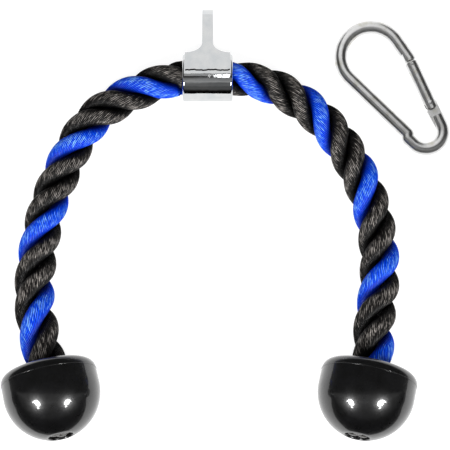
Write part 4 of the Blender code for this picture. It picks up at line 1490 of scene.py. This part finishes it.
# %% Tongues
tongue_reach = sqrt((gate_bore_radius - touching_gap) ** 2 - tongue_half**2)
ear_end = ear_reach + 2 * touching_gap
latch_room = latch_pin_radius + sliding_gap
latch_spot = nose_reach - latch_pin_inset
nose_tip = latch_spot - latch_room - nose_lip


def pivot_outline():
    """The tongue that the rivet goes through, flared into the foot's inner side."""
    flat_corner = sqrt(tongue_reach**2 - tongue_flat_distance**2)
    foot = Vector((-pivot_reach - shoulder_length, -gate_line_offset))
    flare_start = Vector((-ear_end, -gate_radius))
    to_flare = flare_start - foot
    inner_radius = hook_foot_radius - bar_radius
    flare_angle = atan2(to_flare.y, to_flare.x) + acos(inner_radius / to_flare.length)
    flare_end = foot + inner_radius * Vector((cos(flare_angle), sin(flare_angle)))
    outline = [(-pivot_reach - 2 * cut_overrun, gate_radius), (0, gate_radius)]
    outline += [(tongue_flat_distance, flat_corner), (tongue_flat_distance, -flat_corner)]
    outline += arc((0, 0), tongue_reach, -acos(tongue_flat_distance / tongue_reach), -pi / 2)
    outline += [(-ear_end / 2, -tongue_reach), tuple(flare_start), tuple(flare_end)]
    return outline + [(flare_end.x, flare_end.y + 3 * cut_overrun)]


def nose_outline():
    """The tongue that the latch pin drops behind, with its notch open to the inside of the hook."""
    root = nose_reach + 2 * cut_overrun
    outline = [(root, -tongue_reach), (root, tongue_reach)]
    outline += [(nose_tip, tongue_reach), (nose_tip, -tongue_reach)]
    outline += [(latch_spot - latch_room, -tongue_reach), *arc((latch_spot, 0), latch_room, pi, 0)]
    return outline + [(latch_spot + latch_room, -tongue_reach)]


print("tongues, mm thick", round(tongue_half * 2000, 1))

# %% [markdown]
# ## The whole hook
#
# The bar is swept along its line and the tongues are joined on. The flat inside the nose, where the gate's
# tip was given room, and the rivet's hole are cut out, and then all sharp edges are softened.

# %% Hook body
body = swept_bar("hook_bar", hook_line(), bar_radius, hook_place, hook_steel)
combine(body, plate("pivot_tongue", pivot_outline(), -tongue_half, tongue_half, gate_place), "UNION")
combine(body, plate("nose_tongue", nose_outline(), -tongue_half, tongue_half, gate_place), "UNION")
flat_line = -bar_radius + nose_flat_depth
flat_end = nose_reach + nose_flat_length
flat_outline = [(nose_reach - cut_overrun, flat_line), (flat_end, flat_line)]
flat_outline += [(flat_end, -2 * bar_radius), (nose_reach - cut_overrun, -2 * bar_radius)]
combine(body, plate("nose_flat", flat_outline, -bar_radius, bar_radius, gate_place))
combine(body, cutter("rivet_hole", rivet_radius + touching_gap, bar_radius, gate_place, 32))
soften(body, hook_edge, 2)
dress(body, "collar_and_hook", "hook_steel", "snap_hook_body")
print("hook body faces", len(body.data.polygons))

# %% [markdown]
# ## Gate
#
# The gate is a slotted tube. Its slot straddles both tongues, its rounded ears turn on a peened rivet, and a
# pin across its free end does the latching. Inside, a plunger is pushed by a spring against the flat of
# the pivot tongue, which snaps the gate shut.

# %% Gate shell
slot_half = tongue_half + touching_gap
spring_stop_room = 0.0046
stop_thickness = 0.0016
gate_edge = 0.0002
stop_face = nose_tip - spring_stop_room - stop_thickness
over = gate_radius + cut_overrun
outer_gap = asin(slot_half / gate_radius)
inner_gap = asin(slot_half / gate_bore_radius)
shell_outline = arc((0, 0), gate_radius, outer_gap, tau - outer_gap, radians(6))
shell_outline += arc((0, 0), gate_bore_radius, tau - inner_gap, inner_gap, radians(6))
lengthwise = gate_place @ Matrix(((0, 0, 1), (1, 0, 0), (0, 1, 0))).to_4x4()
shell = plate("gate_tube", shell_outline, -ear_reach, nose_reach - gate_mouth_gap, lengthwise, hook_steel)
ear_outline = [(0, -over), *arc((0, 0), ear_reach, 1.5 * pi, 0.5 * pi)]
ear_outline += [(0, over), (-over, over), (-over, -over)]
combine(shell, plate("ear_shape", ear_outline, -over, over, gate_place))
back_gap = [(-over, -over), (touching_gap, -over), (touching_gap, 0), (-over, 0)]
combine(shell, plate("ear_gap", back_gap, -slot_half, slot_half, gate_place))
stop_place = gate_place @ Matrix.Translation((stop_face, 0, 0)) @ Matrix.Rotation(pi / 2, 4, "Y")
stop_radius = (gate_radius + gate_bore_radius) / 2
stop_section = [(0, 0), (stop_radius, 0), (stop_radius, stop_thickness), (0, stop_thickness)]
combine(shell, turned("spring_stop", stop_section, stop_place, segments=64), "UNION")
for spot, radius in ((0, rivet_radius), (latch_spot, latch_pin_radius)):
    hole_place = gate_place @ Matrix.Translation((spot, 0, 0))
    combine(shell, cutter("hole", radius + touching_gap, over, hole_place, 32))
soften(shell, gate_edge, 2)
dress(shell, "gate", "hook_steel", "gate_shell")
print("gate faces", len(shell.data.polygons))

# %% [markdown]
# ## Rivet, latch pin and plunger
#
# The rivet's ends are peened into low domes that cover its hole. The latch pin is pressed in and ground
# flush. Both are turned shapes, and so is the plunger with its stem.

# %% Small turned pieces
rivet_head_radius = 0.0021
rivet_head_height = 0.0004
latch_pin_edge = 0.0003
plunger_length = 0.0050
plunger_edge = 0.0004
stem_radius = 0.0017
stem_length = 0.0030
plunger_radius = gate_bore_radius - sliding_gap


def rivet_section():
    """A rivet's section: a shank between two low domes, from one pole to the other."""
    seat = sqrt(gate_radius**2 - rivet_head_radius**2)
    cap = (rivet_head_radius**2 + rivet_head_height**2) / (2 * rivet_head_height)
    spread = asin(rivet_head_radius / cap)
    dome = arc((0, seat + rivet_head_height - cap), cap, pi / 2 - spread, pi / 2, radians(2))
    half = [(rivet_radius, seat - touching_gap), (rivet_head_radius, seat - touching_gap), *dome[:-1]]
    half.append((0, dome[-1][1]))
    return [(r, -z) for r, z in reversed(half)] + half


def pin_section(radius, low, high, edge):
    """The section of a pin with rounded ends, from the middle of one end to the middle of the other."""
    half = [(0, low), *arc((radius - edge, low + edge), edge, -pi / 2, 0, radians(30))]
    return half + [*arc((radius - edge, high - edge), edge, 0, pi / 2, radians(30)), (0, high)]


rivet = turned("peened_rivet", rivet_section(), gate_place, hook_steel, segments=48)
pin_half = sqrt(gate_radius**2 - latch_pin_radius**2)
latch_section = pin_section(latch_pin_radius, -pin_half, pin_half, latch_pin_edge)
latch_place = gate_place @ Matrix.Translation((latch_spot, 0, 0))
latch = turned("latch_cross_pin", latch_section, latch_place, hook_steel, segments=40)
plunger_section = [(0, 0), *arc((plunger_radius - plunger_edge, plunger_edge), plunger_edge, -pi / 2, 0)]
plunger_section += [(plunger_radius, plunger_length), (stem_radius, plunger_length)]
plunger_section += [(stem_radius, plunger_length + stem_length), (0, plunger_length + stem_length)]
plunger_place = gate_place @ Matrix.Translation((tongue_flat_distance + touching_gap, 0, 0))
plunger_place = plunger_place @ Matrix.Rotation(pi / 2, 4, "Y")
plunger = turned("gate_plunger", plunger_section, plunger_place, plain_steel, segments=64)
dress(rivet, "gate", "hook_steel", "gate_rivet")
dress(latch, "gate", "hook_steel", "latch_pin")
dress(plunger, "plunger", "plain_steel", "plunger")
print("plunger, mm across", round(plunger_radius * 2000, 2))

# %% [markdown]
# ## Spring
#
# A compression spring is a wire wound round an axis, so its shape is a rule, and a geometry tree draws it:
# a spiral curve with a round section swept along it. Its sizes are the tree's inputs. The opening gate pushes
# the plunger back by under a millimetre, so the spring shortens by as much between plunger and stop.

# %% Gate spring
spring_wire = 0.0009
spring_turns = 6.0
points_per_turn = 40
wire_sides = 14
spring_sockets = {
    "Turns": "Float",
    "Radius": "Float",
    "Height": "Float",
    "Wire radius": "Float",
    "Steel": "Material",
}


def spring_tree():
    """The tree that winds a spring up the Z of its object."""
    tree = bpy.data.node_groups.new("wound_spring", "GeometryNodeTree")
    ids = interface(tree, spring_sockets)
    given = add(tree, "NodeGroupInput").outputs
    sizes = {
        "Resolution": points_per_turn,
        "Rotations": given["Turns"],
        "Start Radius": given["Radius"],
        "End Radius": given["Radius"],
        "Height": given["Height"],
    }
    wound = add(tree, "GeometryNodeCurveSpiral", sizes)
    circle = {"Resolution": wire_sides, "Radius": given["Wire radius"]}
    wire = add(tree, "GeometryNodeCurvePrimitiveCircle", circle)
    sweep = {"Curve": wound, "Profile Curve": wire, "Fill Caps": True}
    whole = add(tree, "GeometryNodeRealizeInstances", [add(tree, "GeometryNodeCurveToMesh", sweep)])
    smooth = add(tree, "GeometryNodeSetShadeSmooth", [whole])
    steel = add(tree, "GeometryNodeSetMaterial", {"Geometry": smooth, "Material": given["Steel"]})
    add(tree, "NodeGroupOutput", [steel])
    return tree, ids


spring_start = plunger_length + touching_gap + spring_wire / 2
spring_end = stop_face - tongue_flat_distance - 2 * touching_gap - spring_wire / 2
spring_values = {
    "Turns": spring_turns,
    "Radius": plunger_radius - spring_wire / 2,
    "Height": spring_end - spring_start,
    "Wire radius": spring_wire / 2,
    "Steel": plain_steel,
}
spring = grown("wound_gate_spring", bpy.data.meshes.new("spring_line"), *spring_tree(), spring_values)
spring.data.transform(plunger_place @ Matrix.Translation((0, 0, spring_start)))
dress(spring, "plunger", "plain_steel", "gate_spring")
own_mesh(spring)
print("spring faces", len(spring.data.polygons), "long, mm", round((spring_end - spring_start) * 1000, 2))

# %% [markdown]
# ## Flags
#
# The white panels are there for the chrome and the steel, and the two front lamps for the balls and the
# rope. Flags keep the panels off the dark pieces and the front lamps off the snap hook's satin steel.


# %% Flags
def keep_off(lights, starts):
    """Let lights pass the pieces whose names start in one of these ways."""
    flagged = bpy.data.collections.new("flagged_from_" + lights[0].name)
    for piece in bpy.context.scene.objects:
        if piece.name.startswith(starts):
            flagged.objects.link(piece)
            flagged.collection_objects[-1].light_linking.link_state = "EXCLUDE"
    for light in lights:
        light.light_linking.receiver_collection = flagged
    return [piece.name for piece in flagged.objects]


dark_pieces = ("moulded_ball", "rope_arm", "rope_under_collar")
satin_pieces = ("hook_bar", "gate_tube", "peened_rivet", "latch_cross_pin")
print("off the panels", keep_off(panels, dark_pieces))
print("off the front lamps", keep_off(front_lamps, satin_pieces))

# %% [markdown]
# ## Finishing
#
# The strand's outline has done its work and goes.

# %% Finish
bpy.data.objects.remove(section_guide, do_unlink=True)
